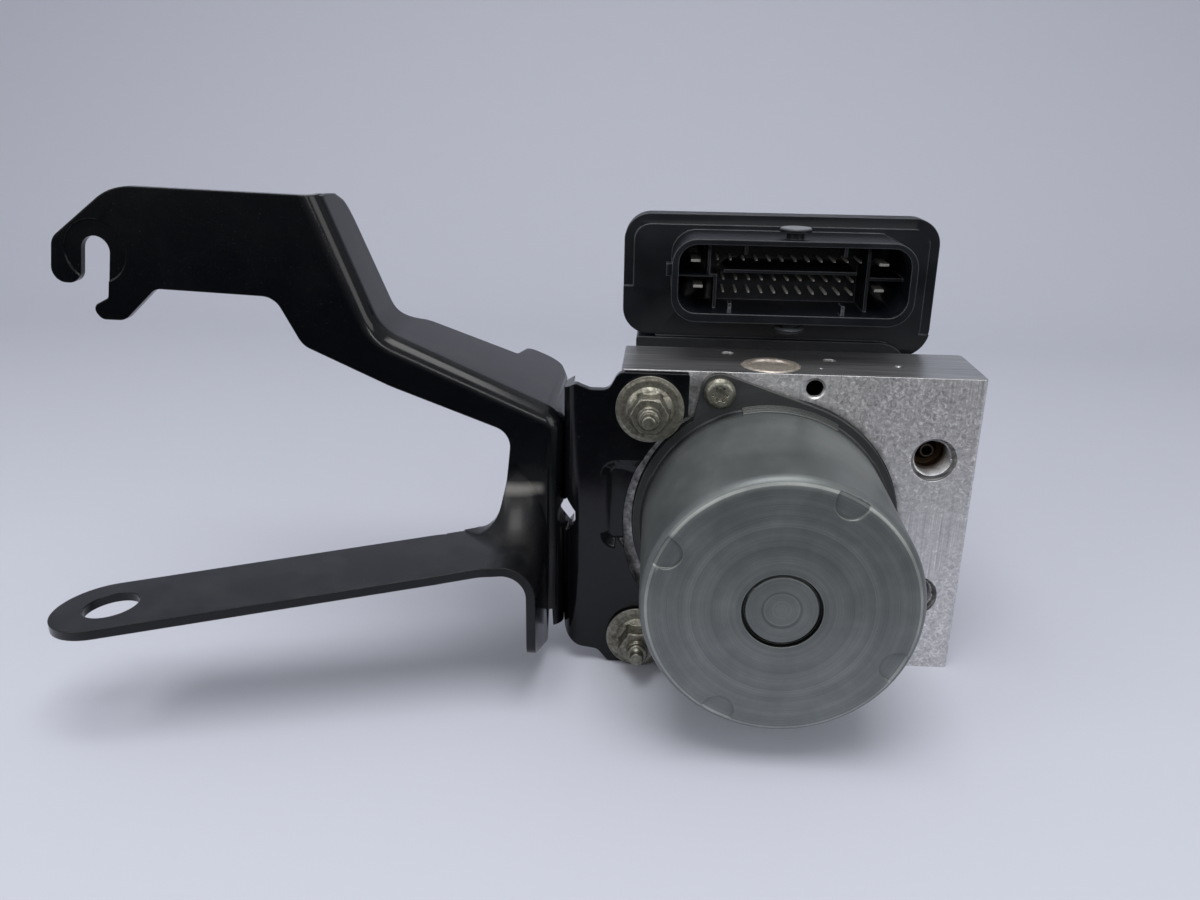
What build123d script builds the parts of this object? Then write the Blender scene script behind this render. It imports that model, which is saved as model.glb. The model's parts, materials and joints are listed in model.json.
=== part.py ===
from build123d import *

import os
from math import acos, atan2, cos, degrees, radians, sin, sqrt

# Anti-lock brake module: a drilled aluminium hydraulic block with a pump motor on its front, an
# electronic control unit on its back and a stamped two-piece bracket on its left side.
# The origin is the middle of the block's bottom face, +Z is up and the motor points along -Y.
# Places are measured from the block's lower left front corner: across (+X), back (+Y) and up (+Z).

# hydraulic block
block_width = 102.0
block_height = 91.5
block_depth = 28.5
block_edge_break = 0.8
seat_gap = 0.05  # clearance of turned pieces in their bores
run_gap = 0.1  # clearance of pieces that slide or turn in a bore

# pump motor
motor_across = 42.8
motor_up = block_height / 2 + 0.3
can_length = 54.4
can_radius = 35.7
can_front_radius = 35.1
can_wall = 1.8
can_gasket = 0.5
can_corner_radius = 3.0
can_flange_radius = 38.5
can_ear_radius = 5.2
ear_back_spread = 62.0
flange_back_spread = 16.0
boss_radius = 9.3
boss_drop = 0.5
boss_groove = 0.7
boss_groove_depth = 1.1
boss_dish_radius = 4.8
dimple_radius = 4.2
dimple_circle = 32.3
dimple_depth = 0.7
dimple_start = 63.8
screw_circle = 42.95
screw_angle = 110.4
motor_screw_radius = 2.4
motor_screw_head_radius = 4.4
motor_screw_head_height = 3.2
motor_screw_length = 11.0
magnet_thickness = 6.0
magnet_length = 30.0
magnet_span = 144.0
air_gap = 0.7
core_length = 22.0
slot_count = 10
winding_overhang = 5.0
commutator_radius = 9.0
commutator_length = 10.0
shaft_radius = 4.0
eccentricity = 1.1
eccentric_radius = 5.2
eccentric_length = 8.0
eccentric_ring_radius = 7.6
end_plate_thickness = 2.2
pilot_radius = 12.0
pilot_depth = 4.0
brush_width = 6.0
brush_length = 8.0

# pump elements, low-pressure accumulators and drillings
pump_back = 9.5
pump_bore_radius = 5.0
pump_plug_radius = 7.0
pump_plug_length = 6.0
pump_sleeve_reach = 26.0
piston_radius = 3.0
piston_length = 12.0
chamber_depth = 20.0
accumulator_across = motor_across
accumulator_back = 9.5
accumulator_radius = 8.0
accumulator_depth = 21.0
accumulator_plug_radius = 8.7
accumulator_plug_height = 4.0
accumulator_piston_height = 7.0
accumulator_stroke = 4.0
spring_wire_radius = 0.6
spring_radius = 5.6
spring_turns = 3.5

# hydraulic ports and threaded holes
port_mouth_radius = 6.45
port_thread_radius = 5.5
port_depth = 11.5
port_thread_end = 8.4
port_relief_radius = 4.9
port_places = [(block_width - 12.1, 67.4), (block_width - 12.4, 24.1)]
seat_height = 3.0
drilling_radius = 1.5
wheel_port_radius = 4.5
wheel_port_mouth_radius = 5.4
wheel_port_depths = [10.0, 10.6, 11.2, 11.8]
wheel_port_back = 20.0
wheel_port_across = [13.0, 28.0, 60.0, 88.0]
bracket_hole_place = (54.5, block_height - 4.0)
m6_drill_radius = 2.5
m6_depth = 8.0
ball_radius = 1.9
ball_places = [(60.7, 17.1), (31.0, 22.7)]
pit_places = [(80.1, 12.5, 1.6), (57.0, 7.4, 0.8)]

# solenoid valves and pressure sensor on the back
valve_across = [16.0, 35.5, 55.0, block_width - 28.0]
valve_up = [22.0, block_height - 33.0, block_height - 14.0]
valve_collar_radius = 6.0
valve_collar_height = 3.0
valve_body_radius = 5.0
valve_body_depth = 10.5
valve_dome_radius = 4.4
valve_dome_height = 15.0
coil_inner_radius = 4.6
coil_outer_radius = 8.6
coil_height = 16.0
coil_lift = 1.2
sensor_place = (66.0, 40.0)
sensor_radius = 5.0
sensor_depth = 9.0
sensor_height = 12.0
contact_place = (46.0, 30.0)
contact_sleeve_radius = 3.3
contact_pin_radius = 0.8
contact_pin_pitch = 2.8

# control unit
unit_left = -1.3
unit_right = block_width - 9.5
unit_top = block_height + 40.0
unit_corner_radius = 8.0
head_bottom = block_height + 3.5
head_foot = block_height - 1.7
head_foot_radius = 9.0
head_setback = 2.5
head_rim_depth = 8.0
head_rear_drop = 4.0
head_rear_step = 1.5
head_cut_radius = 8.0
head_cut_end = 9.0
body_left = 3.1
body_right = block_width - 10.5
body_top = block_height + 3.0
body_bottom = 3.5
body_corner_radius = 5.0
waist_right = block_width - 18.6
waist_bottom = block_height - 7.5
seat_right = block_width - 15.0
seat_corner_radius = 10.0
unit_depth = 32.0
unit_wall = 2.4
unit_front_wall = 2.6
unit_rim = 2.6
unit_step_inset = 3.0
unit_step_height = 0.9
step_middle = 45.0
step_left_foot = unit_top - 21.8
step_right_foot = unit_top - 34.5
unit_screw_across = [7.3, block_width - 17.0]
unit_screw_up = [36.0, block_height - 23.5]
unit_screw_places = [(across, up) for up in unit_screw_up for across in unit_screw_across]
unit_screw_radius = 1.9
unit_screw_head_radius = 3.6
unit_boss_radius = 4.0
cover_thickness = 2.0
cover_rise = 4.0
cover_inset = 2.6
cover_notch = unit_boss_radius + 1.6
seal_inset = 0.6
seal_width = 1.1
seal_depth = 1.0
board_thickness = 1.6
board_gap = 0.25
board_back = 54.0

# connector shroud on the front of the control unit
shroud_left = 13.2
shroud_right = 81.5
shroud_bottom = block_height + 12.1
shroud_height = 23.4
shroud_top = shroud_bottom + shroud_height
shroud_side_wall = 1.9
shroud_top_wall = 1.5
shroud_bottom_wall = 2.5
shroud_corner_radius = 7.2
shroud_front = 9.2
shroud_floor = 32.4
partition_front = 18.0
partition_wall = 0.9
shelf_up = shroud_bottom + 12.0
middle_shelf_up = shroud_bottom + 13.4
left_partition = shroud_left + 10.7
lower_left_partition = shroud_left + 12.7
right_partition = shroud_right - 12.0
middle_shelf_ends = (shroud_left + 15.5, shroud_right - 15.6)
rib_places = [(33.8, 1), (61.5, 1), (30.0, -1), (62.0, -1)]
rib_size = (1.0, 3.0)
rib_length = 5.0
rib_setback = 1.5
stop_size = (2.0, 3.5)
stop_up = shroud_bottom + 14.4
stop_length = 4.0
pin_tip = 21.0
pin_side = 0.64
pin_starts = [(26.5, shroud_bottom + 16.2), (28.4, shroud_bottom + 10.6), (28.5, shroud_bottom + 6.8)]
pin_counts = [12, 11, 11]
pin_pitch = 3.76
upper_blade_up = shroud_bottom + 15.7
lower_blade_up = shroud_bottom + 8.2
blade_places = [
    (20.1, upper_blade_up),
    (21.1, lower_blade_up),
    (74.5, upper_blade_up),
    (73.7, lower_blade_up),
]
blade_width = 2.8
blade_thickness = 0.8
cam_across = 47.6
cam_stem_radius = 2.5
cam_head_radius = 4.5
cam_head_height = 1.2
cam_height = 3.2

# bracket fixing: studs, sleeves, rubber bushes, washers and flanged nuts
stud_places = [(8.4, block_height - 9.6), (7.0, 9.6)]
stud_radius = 3.1
stud_tip = -20.4
stud_dog_radius = 2.05
stud_dog_length = 2.9
stud_root_depth = 12.0
washer_radius = 9.6
washer_step_radius = 8.5
washer_thickness = 1.5
washer_front = -7.7
nut_flange_radius = 6.75
nut_flange_height = 1.4
nut_flats = 10.0
nut_height = 6.4
sleeve_radius = 4.5
bush_body_radius = 7.0
bush_back_radius = 9.3
bush_lip_radius = 8.6

# stamped sheets
sheet = 2.5
web_front = -5.7  # front face of both sheets
joint_across = -16.2  # plane where the two welded flanges meet
plate_bend_radius = 5.5
arm_bend_radius = 5.0
flange_back = 6.0
flange_bottom = 11.4
plate_arc_radius = 41.3
recess_depth = 2.3
recess_wall = 1.2
notch_place = (-15.1, 49.4)
notch_width = 5.3
notch_height = 6.9
notch_drop = 7.0
notch_depth = 14.0
arm_flange_back = 47.3
leg_across = -20.7
leg_front = -34.0
leg_bend_radius = 9.0
strip_root = (-38.0, 43.5)
strip_slope = 0.1
strip_sweep = 0.26
strip_width = 28.2
strip_hole = (-133.3, -45.2)
strip_hole_radius = 7.2
strip_tip_radius = 15.3
blend_radii = [(-45.0, 3.0), (-32.0, 20.0), (leg_across, 21.0)]
slot_centre = (-146.1, 121.9)
slot_radius = 4.1
coin_radius = 8.8
coin_depth = 0.35

left = -block_width / 2
front = -block_depth / 2
web_back = web_front + sheet


def front_view(back=0.0):
    """Sketch plane seen from the front: x runs across, y runs up, extrusions come forward."""
    return Plane(origin=(left, front + back, 0), x_dir=(1, 0, 0), z_dir=(0, -1, 0))


def top_view(up=0.0):
    """Sketch plane seen from above: x runs across, y runs back, extrusions rise."""
    return Plane(origin=(left, front, up), x_dir=(1, 0, 0), z_dir=(0, 0, 1))


def side_view(across=0.0):
    """Sketch plane seen from the right: x runs back, y runs up, extrusions go right."""
    return Plane(origin=(left + across, front, 0), x_dir=(0, 1, 0), z_dir=(1, 0, 0))


def deep_section(across, up):
    """Half-section plane and axis of a turned form along Y: x is the radius, y runs back."""
    plane = Plane(origin=(left + across, front, up), x_dir=(1, 0, 0), z_dir=(0, 0, 1))
    return plane, Axis((left + across, front, up), (0, 1, 0))


def upright_section(across, back):
    """Half-section plane and axis of a turned form along Z: x is the radius, y runs up."""
    plane = Plane(origin=(left + across, front + back, 0), x_dir=(1, 0, 0), z_dir=(0, -1, 0))
    return plane, Axis((left + across, front + back, 0), (0, 0, 1))


def level_section(back, up):
    """Half-section plane and axis of a turned form along X: x runs across, y is the radius."""
    plane = Plane(origin=(left, front + back, up), x_dir=(1, 0, 0), z_dir=(0, -1, 0))
    return plane, Axis((left, front + back, up), (1, 0, 0))


def turned(section, points, mode=Mode.ADD):
    """Revolve a closed half-section in the part that is being built."""
    plane, axis = section
    with BuildSketch(plane) as profile:
        with BuildLine():
            Polyline(*points, close=True)
        make_face()
    revolve(profile.sketch, axis=axis, mode=mode)


def ring(section, inner, outer, start, end, mode=Mode.ADD):
    """Plain turned ring or, with an inner radius of nought, a plain turned disc."""
    turned(section, [(inner, start), (outer, start), (outer, end), (inner, end)], mode)


def around(place, radius, angle):
    """Place at an angle and radius around another place."""
    return (place[0] + radius * cos(radians(angle)), place[1] + radius * sin(radians(angle)))


def rounded_outline(plane, corners):
    """Closed outline on a plane, from corners given as (x, y, rounding radius)."""
    with BuildSketch(plane) as outline:
        with BuildLine():
            Polyline(*[(x, y) for x, y, radius in corners], close=True)
        make_face()
        for x, y, radius in corners:
            if radius:
                corner = outline.vertices().sort_by_distance((x, y))[0]
                fillet(corner, radius=radius)
    return outline.sketch


def drill(plane, places, radius, depth):
    """Round holes into the part that is being built, against the plane's direction."""
    with BuildSketch(plane) as holes:
        with Locations(*places):
            Circle(radius)
    extrude(holes.sketch, amount=-depth, mode=Mode.SUBTRACT)


def finish(part, name):
    """Name a finished piece and write it."""
    part.label = name
    export_step(part, f"parts/{name}.step")


os.makedirs("parts", exist_ok=True)

motor_place = (motor_across, motor_up)
motor_section = deep_section(*motor_place)
motor_axis = motor_section[1]
screw_places = [around(motor_place, screw_circle, screw_angle + turn) for turn in (0, 180)]
accumulator_section = upright_section(accumulator_across, accumulator_back)

# ---------------------------------------------------------------- hydraulic block
with BuildPart() as hydraulic_block:
    with BuildSketch(front_view()):
        Rectangle(block_width, block_height, align=(Align.MIN, Align.MIN))
    extrude(amount=-block_depth)
    chamfer(hydraulic_block.edges().filter_by(Axis.Z), length=block_edge_break)
    # brake line ports with a counterbored mouth and a conical seat at the bottom
    for place in port_places:
        turned(
            deep_section(*place),
            [
                (0, 0),
                (port_mouth_radius, 0),
                (port_mouth_radius, 1.0),
                (port_thread_radius, 1.6),
                (port_thread_radius, port_thread_end),
                (port_relief_radius, port_thread_end),
                (port_relief_radius, port_depth),
                (drilling_radius + 1.9, port_depth),
                (drilling_radius + 0.5, port_depth - seat_height),
                (drilling_radius, port_depth - seat_height),
                (drilling_radius, port_depth + 6.0),
                (0, port_depth + 6.0),
            ],
            Mode.SUBTRACT,
        )
    # wheel line ports on the bottom face
    for across, depth in zip(wheel_port_across, wheel_port_depths):
        turned(
            upright_section(across, wheel_port_back),
            [
                (0, 0),
                (wheel_port_mouth_radius, 0),
                (wheel_port_mouth_radius, 0.9),
                (wheel_port_radius, 1.5),
                (wheel_port_radius, depth),
                (0, depth),
            ],
            Mode.SUBTRACT,
        )
    # chamber of the pump eccentric behind the motor, and the bore of the motor contacts
    ring(motor_section, 0, pilot_radius, 0, chamber_depth, Mode.SUBTRACT)
    ring(deep_section(*contact_place), 0, contact_sleeve_radius + seat_gap, 0, block_depth, Mode.SUBTRACT)
    # threaded holes of the motor screws, the bracket studs and a spare bracket screw
    drill(front_view(), screw_places, motor_screw_radius + seat_gap, motor_screw_length + 1.0)
    drill(front_view(), stud_places, stud_radius + seat_gap, stud_root_depth + 1.0)
    drill(front_view(), [bracket_hole_place], m6_drill_radius, m6_depth)
    # pump bores from both sides into the eccentric chamber, with a wider mouth for the plugs
    for reach in ((0, motor_across - 10.0), (motor_across + 10.0, block_width)):
        section = level_section(pump_back, motor_up)
        turned(
            section,
            [(reach[0], 0), (reach[1], 0), (reach[1], pump_bore_radius), (reach[0], pump_bore_radius)],
            Mode.SUBTRACT,
        )
    for reach in ((0, pump_plug_length), (block_width - pump_plug_length, block_width)):
        section = level_section(pump_back, motor_up)
        bore = pump_plug_radius + seat_gap
        turned(
            section,
            [(reach[0], 0), (reach[1], 0), (reach[1], bore), (reach[0], bore)],
            Mode.SUBTRACT,
        )
    # accumulator bores in the top and bottom faces, each with a wider seat for its plug
    for face, inward in ((block_height, -1), (0, 1)):
        seat = face + inward * accumulator_plug_height
        ring(accumulator_section, 0, accumulator_plug_radius + seat_gap, face, seat, Mode.SUBTRACT)
        floor = face + inward * accumulator_depth
        ring(accumulator_section, 0, accumulator_radius, face, floor, Mode.SUBTRACT)
    # solenoid valve bores, pressure sensor bore and control unit screw holes in the back face
    back_face = Plane(origin=(left, front + block_depth, 0), x_dir=(1, 0, 0), z_dir=(0, -1, 0))
    for across in valve_across:
        for up in valve_up:
            section = deep_section(across, up)
            collar_end = block_depth - valve_collar_height
            body_end = block_depth - valve_body_depth
            ring(section, 0, valve_collar_radius + seat_gap, collar_end, block_depth, Mode.SUBTRACT)
            ring(section, 0, valve_body_radius + seat_gap, body_end, collar_end, Mode.SUBTRACT)
    ring(
        deep_section(*sensor_place),
        0,
        sensor_radius + seat_gap,
        block_depth - sensor_depth,
        block_depth,
        Mode.SUBTRACT,
    )
    drill(back_face, unit_screw_places, unit_screw_radius + seat_gap, -10.0)
    # cross drillings closed by balls, and shallow press marks on the top face
    drill(top_view(block_height), ball_places, ball_radius + seat_gap, 2 * ball_radius + 0.5)
    for across, back, radius in pit_places:
        turned(
            upright_section(across, back),
            [(0, block_height), (radius, block_height), (0, block_height - radius)],
            Mode.SUBTRACT,
        )
finish(hydraulic_block.part, "hydraulic_block")

with BuildPart() as ball_plugs:
    with Locations(*[(left + a, front + b, block_height - ball_radius - 0.3) for a, b in ball_places]):
        Sphere(ball_radius)
finish(ball_plugs.part, "ball_plugs")

# ---------------------------------------------------------------- pump elements and accumulators
chamber_reach = eccentric_ring_radius + eccentricity
piston_tip = chamber_reach + 0.3
pump_sides = (-1, 1)


def pump_side_section(side, points, mode=Mode.ADD):
    """Turn a form about the pump axis; points are (distance from the motor axis, radius)."""
    places = [(motor_across + side * distance, radius) for distance, radius in points]
    turned(level_section(pump_back, motor_up), places, mode)


with BuildPart() as pump_cylinders:
    for side in pump_sides:
        mouth = motor_across if side < 0 else block_width - motor_across
        shoulder = mouth - pump_plug_length
        inner_end = mouth - pump_sleeve_reach
        pump_side_section(
            side,
            [
                (inner_end, piston_radius + run_gap),
                (inner_end, pump_bore_radius - seat_gap),
                (shoulder, pump_bore_radius - seat_gap),
                (shoulder, pump_plug_radius),
                (mouth - 0.6, pump_plug_radius),
                (mouth, pump_plug_radius - 0.6),
                (mouth, 2.4),
                (mouth - 2.0, 2.4),
                (mouth - 2.0, 0),
                (shoulder, 0),
                (shoulder, piston_radius + run_gap),
            ],
        )
finish(pump_cylinders.part, "pump_cylinders")

with BuildPart() as pump_pistons:
    for side in pump_sides:
        mouth = motor_across if side < 0 else block_width - motor_across
        tail = max(piston_tip + piston_length, mouth - pump_sleeve_reach + piston_length / 2)
        pump_side_section(
            side,
            [
                (piston_tip, 0),
                (piston_tip, piston_radius - 0.5),
                (piston_tip + 0.5, piston_radius),
                (tail, piston_radius),
                (tail, 0),
            ],
        )
finish(pump_pistons.part, "pump_pistons")

for name, face, inward in (("upper", block_height, -1), ("lower", 0.0, 1)):
    plug_inner = face + inward * accumulator_plug_height
    crown = face + inward * (accumulator_depth - 0.3)
    skirt = crown - inward * accumulator_piston_height
    with BuildPart() as accumulator_plug:
        turned(
            accumulator_section,
            [
                (0, face - inward * -0.5),
                (accumulator_radius - 1.2, face - inward * -0.5),
                (accumulator_radius - 0.8, face),
                (accumulator_plug_radius - 0.3, face),
                (accumulator_plug_radius, face + inward * 0.3),
                (accumulator_plug_radius, plug_inner),
                (accumulator_radius - 2.6, plug_inner),
                (accumulator_radius - 3.2, plug_inner - inward * 1.2),
                (0, plug_inner - inward * 1.2),
            ],
        )
    finish(accumulator_plug.part, f"{name}_accumulator_plug")

    with BuildPart() as accumulator_piston:
        reach = accumulator_radius - run_gap
        turned(
            accumulator_section,
            [
                (0, crown),
                (reach - 0.6, crown),
                (reach, crown - inward * 0.6),
                (reach, crown - inward * 2.2),
                (reach - 0.9, crown - inward * 2.2),
                (reach - 0.9, crown - inward * 3.8),
                (reach, crown - inward * 3.8),
                (reach, skirt),
                (spring_radius + 1.0, skirt),
                (spring_radius + 1.0, crown - inward * 2.6),
                (0, crown - inward * 2.6),
            ],
        )
    finish(accumulator_piston.part, f"{name}_accumulator_piston")

    spring_head = crown - inward * 2.6
    spring_length = abs(spring_head - plug_inner) - 2 * spring_wire_radius
    spring_start = min(spring_head, plug_inner) + spring_wire_radius
    centre = (left + accumulator_across, front + accumulator_back, spring_start)
    with BuildPart() as accumulator_spring:
        with BuildLine() as coil:
            Helix(spring_length / spring_turns, spring_length, spring_radius, center=centre)
        with BuildSketch(Plane(origin=coil.line @ 0, z_dir=coil.line % 0)):
            RegularPolygon(spring_wire_radius, 6)
        sweep()
    finish(accumulator_spring.part, f"{name}_accumulator_spring")

# ---------------------------------------------------------------- pump motor, fixed pieces
flange_front = -(can_gasket + can_wall)
with BuildPart() as motor_gasket:
    ring(motor_section, can_radius - 1.4, can_flange_radius - 0.6, -can_gasket, 0)
finish(motor_gasket.part, "motor_gasket")

can_face = -can_length
boss_face = can_face + boss_drop
boss_inside = boss_face + can_wall
bush_radius = 7.5
bush_length = 4.4
with BuildPart() as motor_can:
    corner = can_corner_radius
    inner = can_radius - can_wall
    inner_front = can_front_radius - can_wall
    with BuildSketch(motor_section[0]):
        with BuildLine():
            Polyline(
                (inner, -can_gasket),
                (can_flange_radius, -can_gasket),
                (can_flange_radius, flange_front),
                (can_radius + 0.8, flange_front),
                (can_radius, flange_front - 0.8),
                (can_front_radius, can_face + corner),
            )
            JernArc((can_front_radius, can_face + corner), (0, -1), corner, -90)
            Polyline(
                (can_front_radius - corner, can_face),
                (boss_radius + boss_groove, can_face),
                (boss_radius + boss_groove - 0.1, boss_face + boss_groove_depth),
                (boss_radius - 0.1, boss_face + boss_groove_depth),
                (boss_radius - 0.4, boss_face),
                (boss_dish_radius + 0.3, boss_face),
                (boss_dish_radius, boss_face + 0.3),
                (0, boss_face + 0.3),
                (0, boss_inside),
                (bush_radius + seat_gap, boss_inside),
                (bush_radius + seat_gap, boss_inside + bush_length),
                (bush_radius + can_wall, boss_inside + bush_length),
                (bush_radius + can_wall + 1.0, boss_inside),
                (boss_radius + boss_groove + can_wall, can_face + can_wall),
                (inner_front - 2.5, can_face + can_wall),
                (inner_front, can_face + can_wall + 2.5),
                (inner, -can_gasket),
            )
        make_face()
    revolve(axis=motor_axis)
    # two ears for the motor screws
    with BuildSketch(front_view(-can_gasket)):
        for place in screw_places:
            with Locations(place):
                Circle(can_ear_radius)
            ear = degrees(atan2(place[1] - motor_up, place[0] - motor_across))
            tangent = degrees(acos((can_flange_radius - can_ear_radius) / screw_circle))
            with BuildLine():
                Polyline(
                    around(motor_place, can_flange_radius, ear - tangent),
                    around(place, can_ear_radius, ear - tangent),
                    around(place, can_ear_radius, ear + ear_back_spread),
                    around(motor_place, can_flange_radius - 1.0, ear + flange_back_spread),
                    close=True,
                )
            make_face()
        with Locations(motor_place):
            Circle(can_radius - can_wall / 2, mode=Mode.SUBTRACT)
        with Locations(*screw_places):
            Circle(motor_screw_radius + seat_gap, mode=Mode.SUBTRACT)
    extrude(amount=can_wall)
    # crescent press marks round the rim of the face
    dimple_places = [around(motor_place, dimple_circle, dimple_start + 90.0 * k) for k in range(4)]
    drill(front_view(can_face), dimple_places, dimple_radius, dimple_depth)
finish(motor_can.part, "motor_can")

with BuildPart() as motor_screws:
    head_top = flange_front - motor_screw_head_height
    for place in screw_places:
        turned(
            deep_section(*place),
            [
                (0, motor_screw_length),
                (motor_screw_radius - 0.6, motor_screw_length),
                (motor_screw_radius, motor_screw_length - 0.6),
                (motor_screw_radius, flange_front),
                (motor_screw_head_radius, flange_front),
                (motor_screw_head_radius, head_top + 1.2),
                (motor_screw_head_radius - 0.9, head_top + 0.2),
                (motor_screw_head_radius - 1.8, head_top),
                (0, head_top),
            ],
        )
    # six-lobed sockets
    with BuildSketch(front_view(head_top)):
        for place in screw_places:
            with Locations(place):
                Circle(1.75)
                with PolarLocations(1.95, 6):
                    Circle(0.45)
    extrude(amount=-1.8, mode=Mode.SUBTRACT)
finish(motor_screws.part, "motor_screws")

magnet_outer = can_front_radius - can_wall - 0.1
magnet_inner = magnet_outer - magnet_thickness
magnet_front = can_face + can_wall + 4.0
core_front = magnet_front + 3.0
core_back = core_front + core_length
with BuildPart() as motor_magnets:
    with BuildSketch(front_view(magnet_front)):
        with Locations(motor_place):
            Circle(magnet_outer)
            Circle(magnet_inner, mode=Mode.SUBTRACT)
            with PolarLocations(0, 2, start_angle=90.0):
                gap_half = magnet_outer * sin(radians(90.0 - magnet_span / 2))
                with Locations((magnet_outer / 2, 0)):
                    Rectangle(magnet_outer + 2.0, 2 * gap_half, mode=Mode.SUBTRACT)
    extrude(amount=-magnet_length)
finish(motor_magnets.part, "motor_magnets")

plate_radius = can_radius - can_wall - 0.15
drive_bearing_outer = 8.0
drive_bearing_front = -1.2
drive_bearing_back = pilot_depth - 0.3
with BuildPart() as motor_end_plate:
    turned(
        motor_section,
        [
            (shaft_radius + 0.8, -end_plate_thickness),
            (plate_radius, -end_plate_thickness),
            (plate_radius, 0),
            (pilot_radius - seat_gap, 0),
            (pilot_radius - seat_gap, pilot_depth),
            (drive_bearing_outer + seat_gap, pilot_depth),
            (drive_bearing_outer + seat_gap, drive_bearing_front),
            (shaft_radius + 0.8, drive_bearing_front),
        ],
    )
    drill(front_view(-end_plate_thickness), [contact_place], contact_sleeve_radius + seat_gap, 4.0)
finish(motor_end_plate.part, "motor_end_plate")

with BuildPart() as shaft_bearings:
    ring(motor_section, shaft_radius + run_gap, drive_bearing_outer, drive_bearing_front, drive_bearing_back)
    ring(motor_section, shaft_radius + run_gap, bush_radius, boss_inside + 0.1, boss_inside + bush_length)
finish(shaft_bearings.part, "shaft_bearings")

commutator_back = -end_plate_thickness - 3.6
commutator_front = commutator_back - commutator_length
card_front = -end_plate_thickness - 2.4
brush_middle = (commutator_back + commutator_front) / 2
with BuildPart() as brush_card:
    with BuildSketch(front_view(-end_plate_thickness)):
        with Locations(motor_place):
            Circle(plate_radius - 0.8)
            Circle(commutator_radius + 1.6, mode=Mode.SUBTRACT)
        with Locations(contact_place):
            Circle(contact_sleeve_radius + seat_gap, mode=Mode.SUBTRACT)
    extrude(amount=-end_plate_thickness - card_front)
    # brush boxes on both sides of the commutator
    box_wall = 1.1
    box_start = commutator_radius + 2.0
    box_end = box_start + brush_length + 3.0
    with BuildSketch(front_view(card_front)):
        with Locations(motor_place):
            with PolarLocations((box_start + box_end) / 2, 2):
                Rectangle(box_end - box_start, brush_width + 2 * box_wall)
    extrude(amount=card_front - brush_middle + brush_width / 2 + box_wall)
    with BuildSketch(front_view(brush_middle + brush_width / 2 + 0.1)):
        with Locations(motor_place):
            with PolarLocations((box_start + box_end) / 2, 2):
                Rectangle(box_end - box_start + 1.0, brush_width + 0.2)
    extrude(amount=brush_width + 0.2, mode=Mode.SUBTRACT)
finish(brush_card.part, "brush_card")

with BuildPart() as carbon_brushes:
    with BuildSketch(front_view(brush_middle + brush_width / 2)):
        with Locations(motor_place):
            with PolarLocations(commutator_radius + 0.3 + brush_length / 2, 2):
                Rectangle(brush_length, brush_width)
    extrude(amount=brush_width)
finish(carbon_brushes.part, "carbon_brushes")

with BuildPart() as contact_sleeve:
    pin_offset = contact_pin_pitch / 2
    sleeve_end = block_depth + unit_front_wall
    ring(deep_section(*contact_place), 0, contact_sleeve_radius, -end_plate_thickness, sleeve_end)
    pin_places = [(contact_place[0] + shift, contact_place[1]) for shift in (-pin_offset, pin_offset)]
    drill(front_view(-end_plate_thickness), pin_places, contact_pin_radius + seat_gap, sleeve_end + 3.0)
finish(contact_sleeve.part, "contact_sleeve")

with BuildPart() as motor_contact_pins:
    for place in pin_places:
        ring(deep_section(*place), 0, contact_pin_radius, -end_plate_thickness - 4.0, board_back)
finish(motor_contact_pins.part, "motor_contact_pins")

# ---------------------------------------------------------------- pump motor, turning pieces
core_radius = magnet_inner - air_gap
with BuildPart() as motor_shaft:
    shaft_front = boss_inside + 0.6
    eccentric_front = pump_back - eccentric_length / 2
    eccentric_back = pump_back + eccentric_length / 2
    ring(motor_section, 0, shaft_radius, shaft_front, eccentric_front)
    eccentric_section = deep_section(motor_across, motor_up + eccentricity)
    ring(eccentric_section, 0, eccentric_radius, eccentric_front, eccentric_back)
    ring(motor_section, 0, shaft_radius - 1.0, eccentric_back, eccentric_back + 2.0)
finish(motor_shaft.part, "motor_shaft")

with BuildPart() as eccentric_bearing:
    ring(
        eccentric_section,
        eccentric_radius + seat_gap,
        eccentric_ring_radius,
        eccentric_front,
        eccentric_back,
    )
finish(eccentric_bearing.part, "eccentric_bearing")

with BuildPart() as armature_core:
    with BuildSketch(front_view(core_back)):
        with Locations(motor_place):
            Circle(core_radius)
            Circle(shaft_radius + seat_gap, mode=Mode.SUBTRACT)
            with PolarLocations(core_radius, slot_count):
                Rectangle(3.0, 2.0, mode=Mode.SUBTRACT)
            with PolarLocations(core_radius * 0.68, slot_count):
                Rectangle(core_radius * 0.42, 5.2, mode=Mode.SUBTRACT)
    extrude(amount=core_length)
finish(armature_core.part, "armature_core")

with BuildPart() as armature_windings:
    slot_inner = core_radius * 0.47 + 0.2
    slot_outer = core_radius * 0.89 - 0.2
    for start, end in (
        (core_front - winding_overhang, core_front - seat_gap),
        (core_back + seat_gap, core_back + winding_overhang),
    ):
        ring(motor_section, slot_inner, slot_outer, start, end)
    with BuildSketch(front_view(core_back + 1.0)):
        with Locations(motor_place):
            with PolarLocations((slot_inner + slot_outer) / 2, slot_count):
                Rectangle(slot_outer - slot_inner, 4.8)
    extrude(amount=core_length + 2.0)
finish(armature_windings.part, "armature_windings")

with BuildPart() as commutator:
    with BuildSketch(front_view(commutator_back)):
        with Locations(motor_place):
            Circle(commutator_radius)
            Circle(shaft_radius + seat_gap, mode=Mode.SUBTRACT)
            with PolarLocations(commutator_radius, slot_count):
                Rectangle(2.0, 0.6, mode=Mode.SUBTRACT)
    extrude(amount=commutator_length)
finish(commutator.part, "commutator")

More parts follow.
